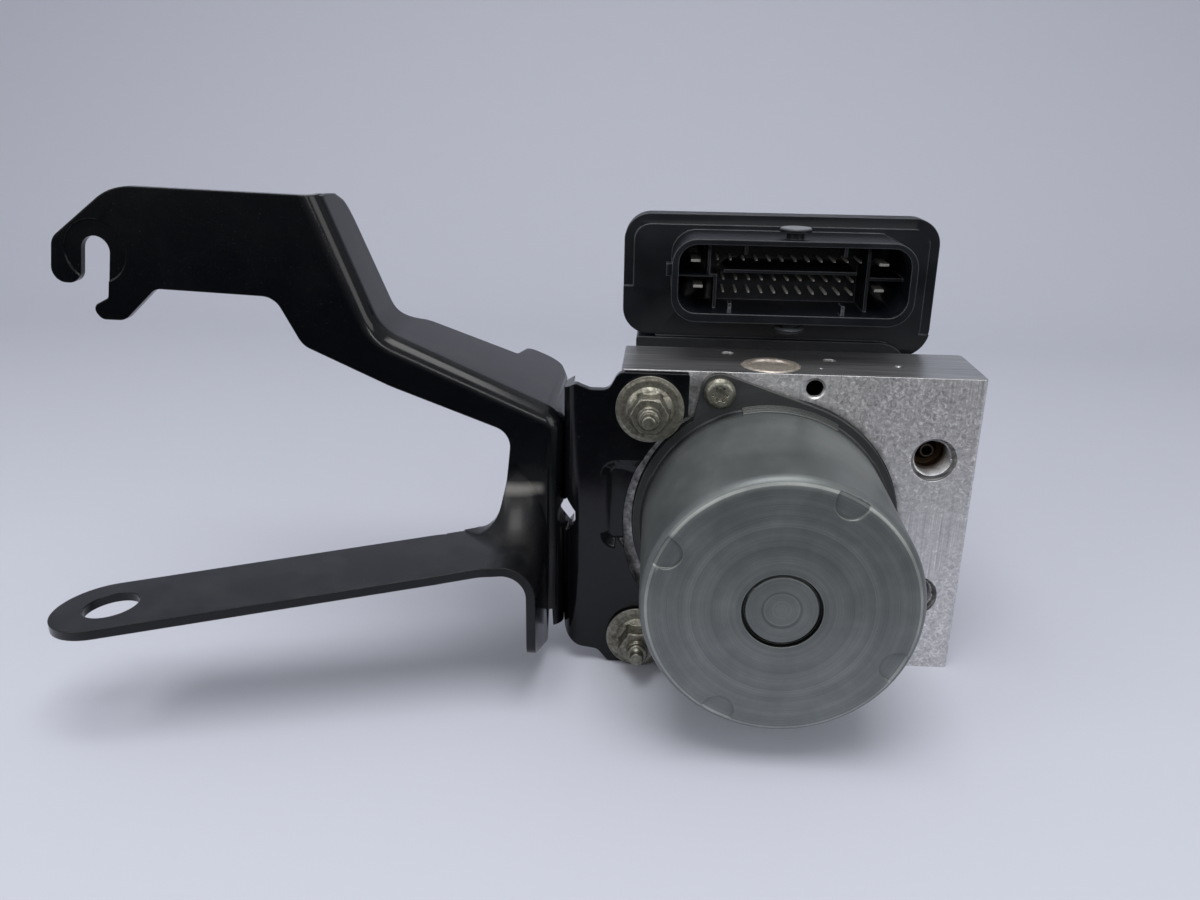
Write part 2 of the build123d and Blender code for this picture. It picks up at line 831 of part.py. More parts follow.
# ---------------------------------------------------------------- solenoid valves and sensor
valve_places = [(across, up) for across in valve_across for up in valve_up]
with BuildPart() as valve_cartridges:
    for place in valve_places:
        turned(
            deep_section(*place),
            [
                (0, block_depth - valve_body_depth),
                (valve_body_radius - 1.4, block_depth - valve_body_depth),
                (valve_body_radius, block_depth - valve_body_depth + 2.0),
                (valve_body_radius, block_depth - valve_collar_height),
                (valve_collar_radius, block_depth - valve_collar_height),
                (valve_collar_radius, block_depth),
                (valve_dome_radius, block_depth + 0.2),
                (valve_dome_radius, block_depth + valve_dome_height - 2.0),
                (valve_dome_radius - 1.8, block_depth + valve_dome_height),
                (0, block_depth + valve_dome_height),
            ],
        )
finish(valve_cartridges.part, "valve_cartridges")

with BuildPart() as solenoid_coils:
    coil_front = block_depth + coil_lift
    coil_back = coil_front + coil_height
    for place in valve_places:
        turned(
            deep_section(*place),
            [
                (coil_inner_radius, coil_front),
                (coil_outer_radius, coil_front),
                (coil_outer_radius, coil_front + 1.6),
                (coil_outer_radius - 0.8, coil_front + 1.6),
                (coil_outer_radius - 0.8, coil_back - 1.6),
                (coil_outer_radius, coil_back - 1.6),
                (coil_outer_radius, coil_back),
                (coil_inner_radius, coil_back),
            ],
        )
finish(solenoid_coils.part, "solenoid_coils")

with BuildPart() as pressure_sensor:
    turned(
        deep_section(*sensor_place),
        [
            (0, block_depth - sensor_depth + 0.2),
            (sensor_radius - 1.0, block_depth - sensor_depth + 0.2),
            (sensor_radius, block_depth - sensor_depth + 1.2),
            (sensor_radius, block_depth),
            (sensor_radius - 0.8, block_depth + 0.6),
            (sensor_radius - 0.8, block_depth + sensor_height),
            (0, block_depth + sensor_height),
        ],
    )
finish(pressure_sensor.part, "pressure_sensor")

# ---------------------------------------------------------------- control unit
unit_back = block_depth + unit_depth
shroud_middle = ((shroud_left + shroud_right) / 2, (shroud_bottom + shroud_top) / 2)
shroud_size = (shroud_right - shroud_left, shroud_top - shroud_bottom)
pin_places = [
    (start + index * pin_pitch, up)
    for (start, up), count in zip(pin_starts, pin_counts)
    for index in range(count)
]


def outline_of_unit(plane, inset, rear=False, screw_notch=0.0):
    """Outline of the control unit, inset from its outer face; the rear part is slightly smaller."""
    top = unit_top - head_rear_drop if rear else unit_top
    head_left = unit_left + head_rear_step if rear else unit_left
    corners = [
        (head_left, top, unit_corner_radius),
        (unit_right, top, unit_corner_radius),
        (unit_right, head_foot, head_foot_radius),
        (waist_right, head_foot, 0),
        (waist_right, waist_bottom, 1.0),
        (body_right, waist_bottom, body_corner_radius),
        (body_right, body_bottom, body_corner_radius),
        (body_left, body_bottom, body_corner_radius),
        (body_left, body_top, 0.8),
        (head_cut_end, body_top, 0),
        (head_cut_end, head_bottom, 0),
        (head_left, head_bottom, head_cut_radius),
    ]
    with BuildSketch(plane) as outline:
        add(rounded_outline(Plane.XY, corners))
        if inset:
            offset(amount=-inset)
        if screw_notch:
            with Locations(*unit_screw_places):
                Circle(screw_notch, mode=Mode.SUBTRACT)
    return outline.sketch


contact_top = block_height - 1.2
contact_corners = [
    (body_left, contact_top, body_corner_radius),
    (waist_right, contact_top, body_corner_radius),
    (waist_right, waist_bottom, 0),
    (body_right, waist_bottom, body_corner_radius),
    (body_right, body_bottom, body_corner_radius),
    (body_left, body_bottom, body_corner_radius),
]


def contact_outline(plane, inset):
    """Outline of the face that is sealed against the block, inset from its outer edge."""
    with BuildSketch(plane) as outline:
        add(rounded_outline(Plane.XY, contact_corners))
        offset(amount=-inset)
    return outline.sketch


def seal_band(inset, width):
    """Band round the coils for the seal or its groove."""
    with BuildSketch(front_view(block_depth)) as band:
        add(contact_outline(Plane.XY, inset))
        add(contact_outline(Plane.XY, inset + width), mode=Mode.SUBTRACT)
    return band.sketch


seat_corners = [
    (body_left, body_top, 0.8),
    (seat_right, body_top, seat_corner_radius),
    (seat_right, waist_bottom, 0),
    (body_right, waist_bottom, body_corner_radius - 1.0),
    (body_right, body_bottom, body_corner_radius),
    (body_left, body_bottom, body_corner_radius),
]
head_front = block_depth + head_setback
rear_start = head_front + head_rim_depth
inner_floor = head_front + unit_front_wall

with BuildPart() as ecu_housing:
    # seat against the block, wide rim of the head and slimmer rear
    extrude(rounded_outline(front_view(block_depth), seat_corners), amount=-head_setback)
    extrude(outline_of_unit(front_view(head_front), 0), amount=-head_rim_depth)
    extrude(outline_of_unit(front_view(rear_start), 0, rear=True), amount=rear_start - unit_back)
    # lowered rim round the front of the head
    with BuildSketch(front_view(head_front)):
        with Locations((unit_left, step_left_foot)):
            size = (step_middle - unit_left, unit_top - step_left_foot)
            Rectangle(*size, align=(Align.MIN, Align.MIN))
        with Locations((step_middle, step_right_foot)):
            size = (unit_right - step_middle, unit_top - step_right_foot)
            Rectangle(*size, align=(Align.MIN, Align.MIN))
        add(outline_of_unit(Plane.XY, unit_step_inset), mode=Mode.SUBTRACT)
    extrude(amount=-unit_step_height, mode=Mode.SUBTRACT)
    # inside of the housing, open to the back, with a window for the coils towards the block
    inside = outline_of_unit(front_view(unit_back), unit_wall, rear=True)
    extrude(inside, amount=unit_back - inner_floor, mode=Mode.SUBTRACT)
    window = contact_outline(front_view(block_depth), unit_rim)
    extrude(window, amount=block_depth - inner_floor, mode=Mode.SUBTRACT)
    # bosses of the four long screws
    with BuildSketch(front_view(block_depth)):
        with Locations(*unit_screw_places):
            Circle(unit_boss_radius)
    extrude(amount=-unit_depth)
    drill(front_view(block_depth), unit_screw_places, unit_screw_radius + seat_gap, unit_depth)
    # groove for the seal in the rim that lies against the block
    extrude(seal_band(seal_inset, seal_width), amount=-seal_depth, mode=Mode.SUBTRACT)
    # connector shroud with its floor sunk into the front wall
    shroud_back = shroud_floor + unit_wall
    with BuildSketch(front_view(shroud_back)):
        with Locations(shroud_middle):
            RectangleRounded(*shroud_size, shroud_corner_radius)
    extrude(amount=shroud_back - shroud_front)
    inner_left = shroud_left + shroud_side_wall
    inner_right = shroud_right - shroud_side_wall
    inner_bottom = shroud_bottom + shroud_bottom_wall
    inner_top = shroud_top - shroud_top_wall
    socket_middle = ((inner_left + inner_right) / 2, (inner_bottom + inner_top) / 2)
    socket_size = (inner_right - inner_left, inner_top - inner_bottom)
    with BuildSketch(front_view(shroud_floor)):
        with Locations(socket_middle):
            RectangleRounded(*socket_size, shroud_corner_radius - shroud_side_wall)
    extrude(amount=shroud_floor - shroud_front, mode=Mode.SUBTRACT)
    # partitions between the power blades and the signal pins: left, right and a middle shelf
    partitions = [
        (left_partition, shelf_up, left_partition, inner_top),
        (inner_left, shelf_up, lower_left_partition, shelf_up),
        (lower_left_partition, inner_bottom, lower_left_partition, shelf_up),
        (middle_shelf_ends[0], middle_shelf_up, middle_shelf_ends[1], middle_shelf_up),
        (right_partition, inner_bottom, right_partition, inner_top),
        (right_partition, shelf_up, inner_right, shelf_up),
    ]
    with BuildSketch(front_view(shroud_floor)):
        for x1, z1, x2, z2 in partitions:
            with Locations(((x1 + x2) / 2, (z1 + z2) / 2)):
                Rectangle(x2 - x1 + partition_wall, z2 - z1 + partition_wall)
    extrude(amount=shroud_floor - partition_front)
    # coding ribs just inside the mouth of the socket, on its top and bottom walls
    with BuildSketch(front_view(shroud_front + rib_setback + rib_length)):
        for across, side in rib_places:
            wall = inner_top if side > 0 else inner_bottom
            with Locations((across, wall - side * (rib_size[1] / 2 - 0.2))):
                Rectangle(*rib_size)
    extrude(amount=rib_length)
    # passages of the pins and blades through the floor
    with BuildSketch(front_view(shroud_back)):
        with Locations(*pin_places):
            Rectangle(pin_side + 2 * seat_gap, pin_side + 2 * seat_gap)
        with Locations(*blade_places):
            Rectangle(blade_width + 2 * seat_gap, blade_thickness + 2 * seat_gap)
    extrude(amount=shroud_back - shroud_floor, mode=Mode.SUBTRACT)
    # mushroom pins of the plug lever above and below the shroud, and the stop on its left
    cam_back = shroud_front + cam_head_radius + 0.6
    for base, away in ((shroud_top, 1), (shroud_bottom, -1)):
        stem_end = base + away * (cam_height - cam_head_height)
        turned(
            upright_section(cam_across, cam_back),
            [
                (0, base - away * 0.5),
                (cam_stem_radius, base - away * 0.5),
                (cam_stem_radius, stem_end),
                (cam_head_radius, stem_end),
                (cam_head_radius, stem_end + away * (cam_head_height - 0.4)),
                (cam_head_radius - 0.4, stem_end + away * cam_head_height),
                (0, stem_end + away * cam_head_height),
            ],
        )
    with BuildSketch(front_view(shroud_front + 2.0 + stop_length)):
        with Locations((shroud_left - 0.6, stop_up)):
            Rectangle(*stop_size)
    extrude(amount=stop_length)
finish(ecu_housing.part, "ecu_housing")

with BuildPart() as ecu_seal:
    band = seal_band(seal_inset + seat_gap, seal_width - 2 * seat_gap)
    extrude(band, amount=-(seal_depth - seat_gap))
finish(ecu_seal.part, "ecu_seal")

with BuildPart() as ecu_cover:
    back_view = front_view(unit_back)
    extrude(outline_of_unit(back_view, 0, True), amount=-cover_thickness)
    raised = outline_of_unit(back_view, cover_inset, True, cover_notch)
    extrude(raised, amount=-(cover_thickness + cover_rise))
    wall_inset = cover_inset + cover_thickness
    hollow = outline_of_unit(back_view, wall_inset, True, cover_notch + cover_thickness)
    extrude(hollow, amount=-cover_rise, mode=Mode.SUBTRACT)
    drill(front_view(unit_back), unit_screw_places, unit_screw_radius + seat_gap, cover_thickness)
finish(ecu_cover.part, "ecu_cover")

with BuildPart() as ecu_screws:
    head_base = unit_back + cover_thickness
    for place in unit_screw_places:
        turned(
            deep_section(*place),
            [
                (0, block_depth - 9.0),
                (unit_screw_radius - 0.6, block_depth - 9.0),
                (unit_screw_radius, block_depth - 8.4),
                (unit_screw_radius, head_base),
                (unit_screw_head_radius, head_base),
                (unit_screw_head_radius, head_base + 2.0),
                (unit_screw_head_radius - 1.0, head_base + 2.8),
                (0, head_base + 2.8),
            ],
        )
    with BuildSketch(front_view(head_base + 2.8)):
        for place in unit_screw_places:
            with Locations(place):
                RegularPolygon(1.7, 6)
    extrude(amount=1.6, mode=Mode.SUBTRACT)
finish(ecu_screws.part, "ecu_screws")

with BuildPart() as circuit_board:
    board_view = front_view(board_back)
    board = outline_of_unit(board_view, unit_wall + board_gap, True, unit_boss_radius + board_gap)
    extrude(board, amount=-board_thickness)
finish(circuit_board.part, "circuit_board")

with BuildPart() as connector_pins:
    with BuildSketch(front_view(board_back)):
        with Locations(*pin_places):
            Rectangle(pin_side, pin_side)
    extrude(amount=board_back - pin_tip)
finish(connector_pins.part, "connector_pins")

with BuildPart() as power_blades:
    with BuildSketch(front_view(board_back)):
        with Locations(*blade_places):
            Rectangle(blade_width, blade_thickness)
    extrude(amount=board_back - pin_tip)
finish(power_blades.part, "power_blades")

# ---------------------------------------------------------------- bracket fixing
with BuildPart() as bracket_studs:
    for place in stud_places:
        dog_start = stud_tip + stud_dog_length
        turned(
            deep_section(*place),
            [
                (0, stud_root_depth),
                (stud_radius - 0.7, stud_root_depth),
                (stud_radius, stud_root_depth - 0.7),
                (stud_radius, dog_start + 0.6),
                (stud_radius - 0.5, dog_start),
                (stud_dog_radius, dog_start),
                (stud_dog_radius, stud_tip + 0.5),
                (stud_dog_radius - 0.5, stud_tip),
                (0, stud_tip),
            ],
        )
finish(bracket_studs.part, "bracket_studs")

washer_back = washer_front + washer_thickness
with BuildPart() as bracket_sleeves:
    for place in stud_places:
        ring(deep_section(*place), stud_radius + seat_gap, sleeve_radius, washer_back, 0)
finish(bracket_sleeves.part, "bracket_sleeves")

with BuildPart() as rubber_bushes:
    for place in stud_places:
        turned(
            deep_section(*place),
            [
                (sleeve_radius + seat_gap, washer_back),
                (bush_lip_radius, washer_back),
                (bush_lip_radius, web_front),
                (bush_body_radius, web_front),
                (bush_body_radius, web_back),
                (bush_back_radius, web_back),
                (bush_back_radius, -0.8),
                (bush_back_radius - 0.8, 0),
                (sleeve_radius + seat_gap, 0),
            ],
        )
finish(rubber_bushes.part, "rubber_bushes")

with BuildPart() as nut_washers:
    for place in stud_places:
        turned(
            deep_section(*place),
            [
                (stud_radius + 0.2, washer_back),
                (washer_radius - 0.3, washer_back),
                (washer_radius, washer_back - 0.3),
                (washer_radius, washer_front + 0.5),
                (washer_step_radius + 0.2, washer_front + 0.4),
                (washer_step_radius - 0.4, washer_front),
                (stud_radius + 0.2, washer_front),
            ],
        )
finish(nut_washers.part, "nut_washers")

with BuildPart() as bracket_nuts:
    nut_top = washer_front - nut_height
    for place in stud_places:
        turned(
            deep_section(*place),
            [
                (stud_radius + seat_gap, washer_front),
                (nut_flange_radius, washer_front),
                (nut_flange_radius, washer_front - 0.4),
                (nut_flats / 2 + 0.4, washer_front - nut_flange_height),
                (stud_radius + seat_gap, washer_front - nut_flange_height),
            ],
        )
    with BuildSketch(front_view(washer_front)):
        for place in stud_places:
            with Locations(place):
                RegularPolygon(nut_flats / 2, 6, major_radius=False)
                Circle(stud_radius + seat_gap, mode=Mode.SUBTRACT)
    extrude(amount=nut_height)
    # rounded corners of the hexagon on its front
    for place in stud_places:
        turned(
            deep_section(*place),
            [
                (nut_flats / 2 - 0.3, nut_top),
                (nut_flats / 2 + 2.0, nut_top),
                (nut_flats / 2 + 2.0, nut_top + 1.3),
            ],
            Mode.SUBTRACT,
        )
finish(bracket_nuts.part, "bracket_nuts")

# ---------------------------------------------------------------- carrier plate
far = 200.0  # beyond every outline


def plate_form(skin):
    """Solid that the carrier plate is bent over, lying skin inside the sheet's outer face."""
    with BuildPart() as form:
        with BuildSketch(front_view(web_front + skin)):
            with Locations((joint_across + skin, -10.0)):
                Rectangle(60.0, 120.0, align=(Align.MIN, Align.MIN))
        extrude(amount=web_front + skin - flange_back)
        front_face = form.faces().sort_by(Axis.Y)[0]
        bend = front_face.edges().filter_by(Axis.Z).sort_by(Axis.X)[0]
        fillet(bend, radius=plate_bend_radius - skin)
    return form.part


def notch():
    """Sketch of the sight notch through both bends: a diamond drawn out downwards."""
    across, up = notch_place
    with BuildSketch(front_view(web_front - 1.0)) as hole:
        with BuildLine():
            Polyline(
                (across, up + notch_height / 2),
                (across + notch_width / 2, up),
                (across + notch_width / 2, up - notch_drop / 2),
                (across, up - notch_drop),
                (across - notch_width / 2, up - notch_drop / 2),
                (across - notch_width / 2, up),
                close=True,
            )
        make_face()
    return hole.sketch


plate_corners = [
    (joint_across - 1.0, block_height - 6.0, 0),
    (-12.4, block_height - 3.2, 1.5),
    (-8.5, block_height - 4.7, 3.0),
    (-3.3, block_height - 4.7, 3.0),
    (-0.6, block_height + 0.5, 3.0),
    (19.2, block_height + 0.5, 0.8),
    (19.2, 70.0, 0),
    (19.2, 16.0, 0),
    (17.0, 12.0, 6.0),
    (15.6, 0.3, 8.0),
    (-2.2, 0.3, 1.5),
    (-5.4, 4.2, 3.0),
    (-15.2, 5.6, 7.0),
    (joint_across, 14.3, 0),
    (joint_across - 1.0, 14.3, 0),
]
recess_corners = [(-5.5, 66.0, 5.0), (30.0, 66.0, 0), (30.0, 38.0, 0), (-5.5, 38.0, 5.0)]
recess_taper = 55.0

with BuildPart() as carrier_plate:
    add(plate_form(0))
    add(plate_form(sheet), mode=Mode.SUBTRACT)
    # pressed recess beside the motor: a raised back and a sunk front
    raised = [
        (x - recess_wall if x < 0 else x, y + (recess_wall if y > 50 else -recess_wall), r)
        for x, y, r in recess_corners
    ]
    extrude(rounded_outline(front_view(web_back), raised), amount=-recess_depth, taper=recess_taper)
    sunk = rounded_outline(front_view(web_front), recess_corners)
    extrude(sunk, amount=-recess_depth, taper=recess_taper, mode=Mode.SUBTRACT)
    # outline with the round clearance for the motor, holes for the rubber bushes
    outline = rounded_outline(front_view(web_front - 1.0), plate_corners)
    extrude(outline, amount=-(flange_back - web_front + 2.0), mode=Mode.INTERSECT)
    drill(front_view(web_front - 1.0), [motor_place], plate_arc_radius, 8.0)
    drill(front_view(web_front - 1.0), stud_places, bush_body_radius + seat_gap, 4.0)
    extrude(notch(), amount=-notch_depth, mode=Mode.SUBTRACT)
finish(carrier_plate.part, "carrier_plate")

# ---------------------------------------------------------------- arm bracket
steep_start = (-86.9, 150.0)
elbow = (-67.9, 101.4)
shoulder = (joint_across, 78.5)
elbow_radius = 12.0
shoulder_radius = 8.5


def strip_top(across):
    """Height of the lower arm's top face."""
    return strip_root[1] + strip_slope * (across - strip_root[0])


def upper_form(skin):
    """Solid under the web and its backward flange, lying skin inside the sheet's outer face."""
    with BuildPart() as form:
        with BuildSketch(front_view(web_front + skin)):
            with BuildLine():
                FilletPolyline(
                    steep_start,
                    elbow,
                    shoulder,
                    (joint_across, -60.0),
                    radius=[elbow_radius, shoulder_radius],
                )
                Polyline((joint_across, -60.0), (-far, -60.0), (-far, 150.0), steep_start)
            make_face()
            if skin:
                offset(amount=-skin)
        extrude(amount=web_front + skin - arm_flange_back - 5.0)
        front_face = form.faces().sort_by(Axis.Y)[0]
        fillet(front_face.edges(), radius=arm_bend_radius - skin)
    return form.part


def lower_section(across, radius, skin):
    """Side section of the solid under the lower arm and its curved rise into the web."""
    top = strip_top(across)
    with BuildSketch(side_view(across)) as section:
        with BuildLine():
            Line((-60.0, top - skin), (web_front - radius, top - skin))
            CenterArc((web_front - radius, top + radius), radius + skin, -90.0, 90.0)
            Polyline(
                (web_front + skin, top + radius),
                (web_front + skin, 75.0),
                (15.0, 75.0),
                (15.0, -20.0),
                (-60.0, -20.0),
                (-60.0, top - skin),
            )
        make_face()
    return section.sketch


def lower_form(skin):
    """Solid under the lower arm, its rise into the web and its leg, skin inside the outer face."""
    with BuildPart() as form:
        sections = [lower_section(across, radius, skin) for across, radius in blend_radii[:-1]]
        sections.append(lower_section(leg_across - skin, blend_radii[-1][1], skin))
        loft(sections, ruled=True)
        side_face = form.faces().sort_by(Axis.X)[-1]
        rise = side_face.edges().filter_by(GeomType.CIRCLE)
        fillet(rise, radius=leg_bend_radius - skin)
    return form.part


def rear_edge(across):
    """Depth of the lower arm's rear edge."""
    return web_front + strip_sweep * (across - strip_root[0])


arm_corners = [
    (0.0, 124.0, 0),
    (-76.0, 133.8, 3.0),
    (-82.8, 137.9, 3.0),
    (-139.0, 139.6, 16.0),
    (-158.0, 125.3, 5.0),
    (-160.2, 112.9, 3.9),
    (-151.7, 112.9, 3.6),
    (-149.46, 126.62, 4.05),
    (-141.38, 125.26, 4.05),
    (-144.2, 108.9, 1.2),
    (-149.5, 106.2, 2.0),
    (-147.0, 102.7, 2.5),
    (-140.3, 102.6, 4.0),
    (-130.3, 111.8, 4.0),
    (-96.6, 110.4, 6.0),
    (-89.6, 96.9, 6.0),
    (-65.3, 85.8, 50.0),
    (-30.9, 73.0, 6.0),
    (-32.4, 58.5, 20.0),
    (-35.3, 44.5, 10.0),
    (-52.0, strip_top(-52.0) + 0.1, 0),
    (-far, strip_top(-far) + 0.6, 0),
    (-far, -20.0, 0),
    (0.0, -20.0, 0),
]
flange_corners = [
    (-far, -80.0, 0),
    (-far, 2.0, 0),
    (-83.2, 2.0, 0),
    (-80.8, 15.0, 3.5),
    (-68.5, 16.6, 5.0),
    (-61.0, 26.2, 6.0),
    (-34.6, 33.4, 1.5),
    (-32.6, 46.0, 4.0),
    (-22.5, arm_flange_back, 6.0),
    (-17.0, 28.0, 0),
    (0.0, 24.0, 0),
    (0.0, -80.0, 0),
]
post_corners = [
    (flange_back, -30.0, 0),
    (flange_back, 66.0, 8.0),
    (26.0, 79.0, 3.0),
    (60.0, 79.0, 0),
    (60.0, -30.0, 0),
]
leg_foot_corners = [
    (-80.0, 24.0, 0),
    (leg_front, 24.0, 0),
    (leg_front, 18.4, 4.0),
    (-4.0, 5.6, 0),
    (20.0, 5.6, 0),
    (20.0, -40.0, 0),
    (-80.0, -40.0, 0),
]
strip_turn = 50.0  # where the strip widens towards the leg, measured to the left of the block
strip_front_shift = strip_width * sqrt(1 + strip_sweep**2)
strip_corners = [
    (-strip_turn, rear_edge(-strip_turn), 0),
    (strip_root[0], rear_edge(strip_root[0]), 0),
    (strip_root[0] + 2.0, 4.0, 0),
    (0.0, 4.0, 0),
    (0.0, leg_front, 0),
    (strip_root[0] + 2.0, leg_front, 8.0),
    (-strip_turn, rear_edge(-strip_turn) - strip_front_shift, 0),
]

blend_start = blend_radii[0][0]

with BuildPart() as lower_arm:
    add(lower_form(0))
    add(lower_form(sheet), mode=Mode.SUBTRACT)
    add(upper_form(sheet), mode=Mode.SUBTRACT)
    with BuildSketch(front_view(-60.0)):
        with BuildLine():
            Polyline(
                (-far, strip_top(-far)),
                (blend_start, strip_top(blend_start)),
                (blend_start, strip_top(blend_start) - sheet),
                (-far, strip_top(-far) - sheet),
                close=True,
            )
        make_face()
    extrude(amount=-(60.0 + web_front))
    # plan of the strip: a long slot shape that widens into the leg
    with BuildSketch(top_view(-30.0)) as plan:
        add(rounded_outline(Plane.XY, strip_corners))
        turn_middle = rear_edge(-strip_turn) - strip_front_shift / 2
        reach = 1 + (strip_tip_radius - strip_width / 2) / (-strip_turn - strip_hole[0])
        tip = (
            -strip_turn + (strip_hole[0] + strip_turn) * reach,
            turn_middle + (strip_hole[1] - turn_middle) * reach,
        )
        middle = ((tip[0] - strip_turn) / 2, (tip[1] + turn_middle) / 2)
        SlotCenterPoint(middle, tip, strip_width)
    extrude(amount=120.0, mode=Mode.INTERSECT)
    # hole with a coined seat at its tip
    with Locations(Plane(origin=(left + strip_hole[0], front + strip_hole[1], 0))):
        Cylinder(strip_hole_radius, 100.0, mode=Mode.SUBTRACT)

with BuildPart() as arm_bracket:
    # web, hook plate and backward flange
    add(upper_form(0))
    add(upper_form(sheet), mode=Mode.SUBTRACT)
    add(lower_form(sheet), mode=Mode.SUBTRACT)
    with BuildSketch(front_view(web_front - 1.0)):
        with Locations((strip_root[0], 65.0)):
            Rectangle(far, 100.0, align=(Align.MAX, Align.MAX))
        with Locations((leg_across + 0.1, flange_bottom)):
            Rectangle(30.0, 60.0, align=(Align.MIN, Align.MAX))
    extrude(amount=-70.0, mode=Mode.SUBTRACT)
    flange_plan = rounded_outline(top_view(-30.0), flange_corners)
    extrude(flange_plan, amount=200.0, mode=Mode.INTERSECT)
    post_side = rounded_outline(side_view(leg_across - 3.0), post_corners)
    extrude(post_side, amount=20.0, mode=Mode.SUBTRACT)
    # lower arm joins the web and the post
    add(lower_arm.part)
    outline = rounded_outline(front_view(-80.0), arm_corners)
    extrude(outline, amount=-160.0, mode=Mode.INTERSECT)
    # sloping foot of the leg
    foot = rounded_outline(side_view(-60.0), leg_foot_corners)
    extrude(foot, amount=60.0 + leg_across + 0.1, mode=Mode.SUBTRACT)
    # relief slit between the leg and the post, and the sight notch
    with BuildSketch(front_view(web_front - 1.0)):
        with BuildLine():
            Polyline((-21.0, 4.0), (-18.7, 4.0), (-19.3, 17.0), (-20.3, 17.0), close=True)
        make_face()
    extrude(amount=-7.0, mode=Mode.SUBTRACT)
    extrude(notch(), amount=-notch_depth, mode=Mode.SUBTRACT)
    # coined washer seat round the slot of the hook
    with BuildSketch(front_view(web_front + coin_depth)):
        with Locations(slot_centre):
            Circle(coin_radius)
    extrude(amount=5.0, mode=Mode.SUBTRACT)
finish(arm_bracket.part, "arm_bracket")
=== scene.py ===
# %% [markdown]
# # An anti-lock brake module in its real finishes
#
# The module is a drilled aluminium block with a pump motor on its front, a black control unit on
# its back and a black stamped bracket on its left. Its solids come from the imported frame. This
# lesson gives every surface the finish of the real thing and models the details that are too fine
# for the solids: rolled steps on the motor, a squeezed gasket, screw threads and pin tips.

import json
from math import cos, pi, radians, sin

import bmesh
import bpy
from mathutils import Matrix, Vector


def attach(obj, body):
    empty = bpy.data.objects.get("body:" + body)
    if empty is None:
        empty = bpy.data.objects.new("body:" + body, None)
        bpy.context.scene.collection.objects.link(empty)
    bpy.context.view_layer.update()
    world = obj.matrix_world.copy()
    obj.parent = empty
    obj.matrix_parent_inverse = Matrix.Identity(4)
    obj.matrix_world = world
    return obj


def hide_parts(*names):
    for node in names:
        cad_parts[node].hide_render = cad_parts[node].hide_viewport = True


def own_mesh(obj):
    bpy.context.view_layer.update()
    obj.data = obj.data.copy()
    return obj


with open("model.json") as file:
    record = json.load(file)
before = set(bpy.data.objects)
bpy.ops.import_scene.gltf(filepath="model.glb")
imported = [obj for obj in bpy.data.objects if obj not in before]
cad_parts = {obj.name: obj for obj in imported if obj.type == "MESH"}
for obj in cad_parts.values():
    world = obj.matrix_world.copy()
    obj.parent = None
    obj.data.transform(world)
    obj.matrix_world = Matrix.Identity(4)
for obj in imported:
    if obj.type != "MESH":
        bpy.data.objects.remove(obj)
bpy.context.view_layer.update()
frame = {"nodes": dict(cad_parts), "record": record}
nodes = frame["nodes"]
slot_of = {part["node"]: part["material_slot"] for part in frame["record"]["subparts"]}
body_of = {node: body for body, names in frame["record"]["behaviour"]["bodies"].items() for node in names}
MM = 0.001
MM_PER_METRE = 1000.0
print("nodes:", len(nodes))

# %% [markdown]
# ## One place for each piece
#
# All sizes are in millimetres from the block's lower left front corner: across, back and up. That is
# how a maker measures such a block, from its milled edges. One function turns them to the frame's
# metres.

# %% Sizes of the module
block_width = 102.0
block_depth = 28.5
motor_across = 42.8
motor_up = 46.05
can_radius = 35.7
stud_places = [(8.4, 81.9), (7.0, 9.6)]
port_places = [(89.9, 67.4), (89.6, 24.1)]
screw_hole_place = (54.5, 87.5)
left = -block_width / 2
front = -block_depth / 2


def place(across, back, up):
    """Point of the frame, in metres, from millimetres across, back and up."""
    return Vector((left + across, front + back, up)) * MM


motor_centre = place(motor_across, 0, motor_up)
print("motor axis at", [round(value, 4) for value in motor_centre])

# %% [markdown]
# ## The camera
#
# The camera stands a hand's breadth above the module's top and about 27 cm in front of it, and
# looks down by nineteen degrees. So near, the motor looks large and the block's sides run together
# towards the back, which is why its lens is a wide one.

# %% Camera
camera_place = place(11.286, -270.68, 162.843)
camera_yaw = -0.063
camera_pitch = 0.340
camera_roll = 0.015
camera_lens = 29.58

ahead = Vector((sin(camera_yaw) * cos(camera_pitch), cos(camera_yaw) * cos(camera_pitch), -sin(camera_pitch)))
level_right = Vector((cos(camera_yaw), -sin(camera_yaw), 0))
level_up = level_right.cross(ahead)
right = cos(camera_roll) * level_right + sin(camera_roll) * level_up
up = -sin(camera_roll) * level_right + cos(camera_roll) * level_up
camera_data = bpy.data.cameras.new("camera")
camera_data.lens = camera_lens
camera_data.sensor_width = 36.0
camera_data.clip_start = 0.01
camera = bpy.data.objects.new("camera", camera_data)
camera.matrix_world = Matrix.Translation(camera_place) @ Matrix((right, up, -ahead)).transposed().to_4x4()
bpy.context.scene.collection.objects.link(camera)
bpy.context.scene.camera = camera
bpy.context.scene.view_settings.view_transform = "Standard"
print("camera at", [round(value, 3) for value in camera_place])

# %% [markdown]
# ## Floor, backdrop and light
#
# The module stands on a pale sheet that rises behind it. The sheet is one strip, extruded from a
# profile with a round sweep, so that no horizon cuts the view. It ends just in front of the module:
# black paint mirrors what lies before it, and there the real one mirrors something dark.

# %% Floor with a swept backdrop
floor_front = -0.16
floor_back = 0.42
floor_half_width = 1.4
sweep_radius = 0.35
sweep_steps = 12
backdrop_height = 0.9

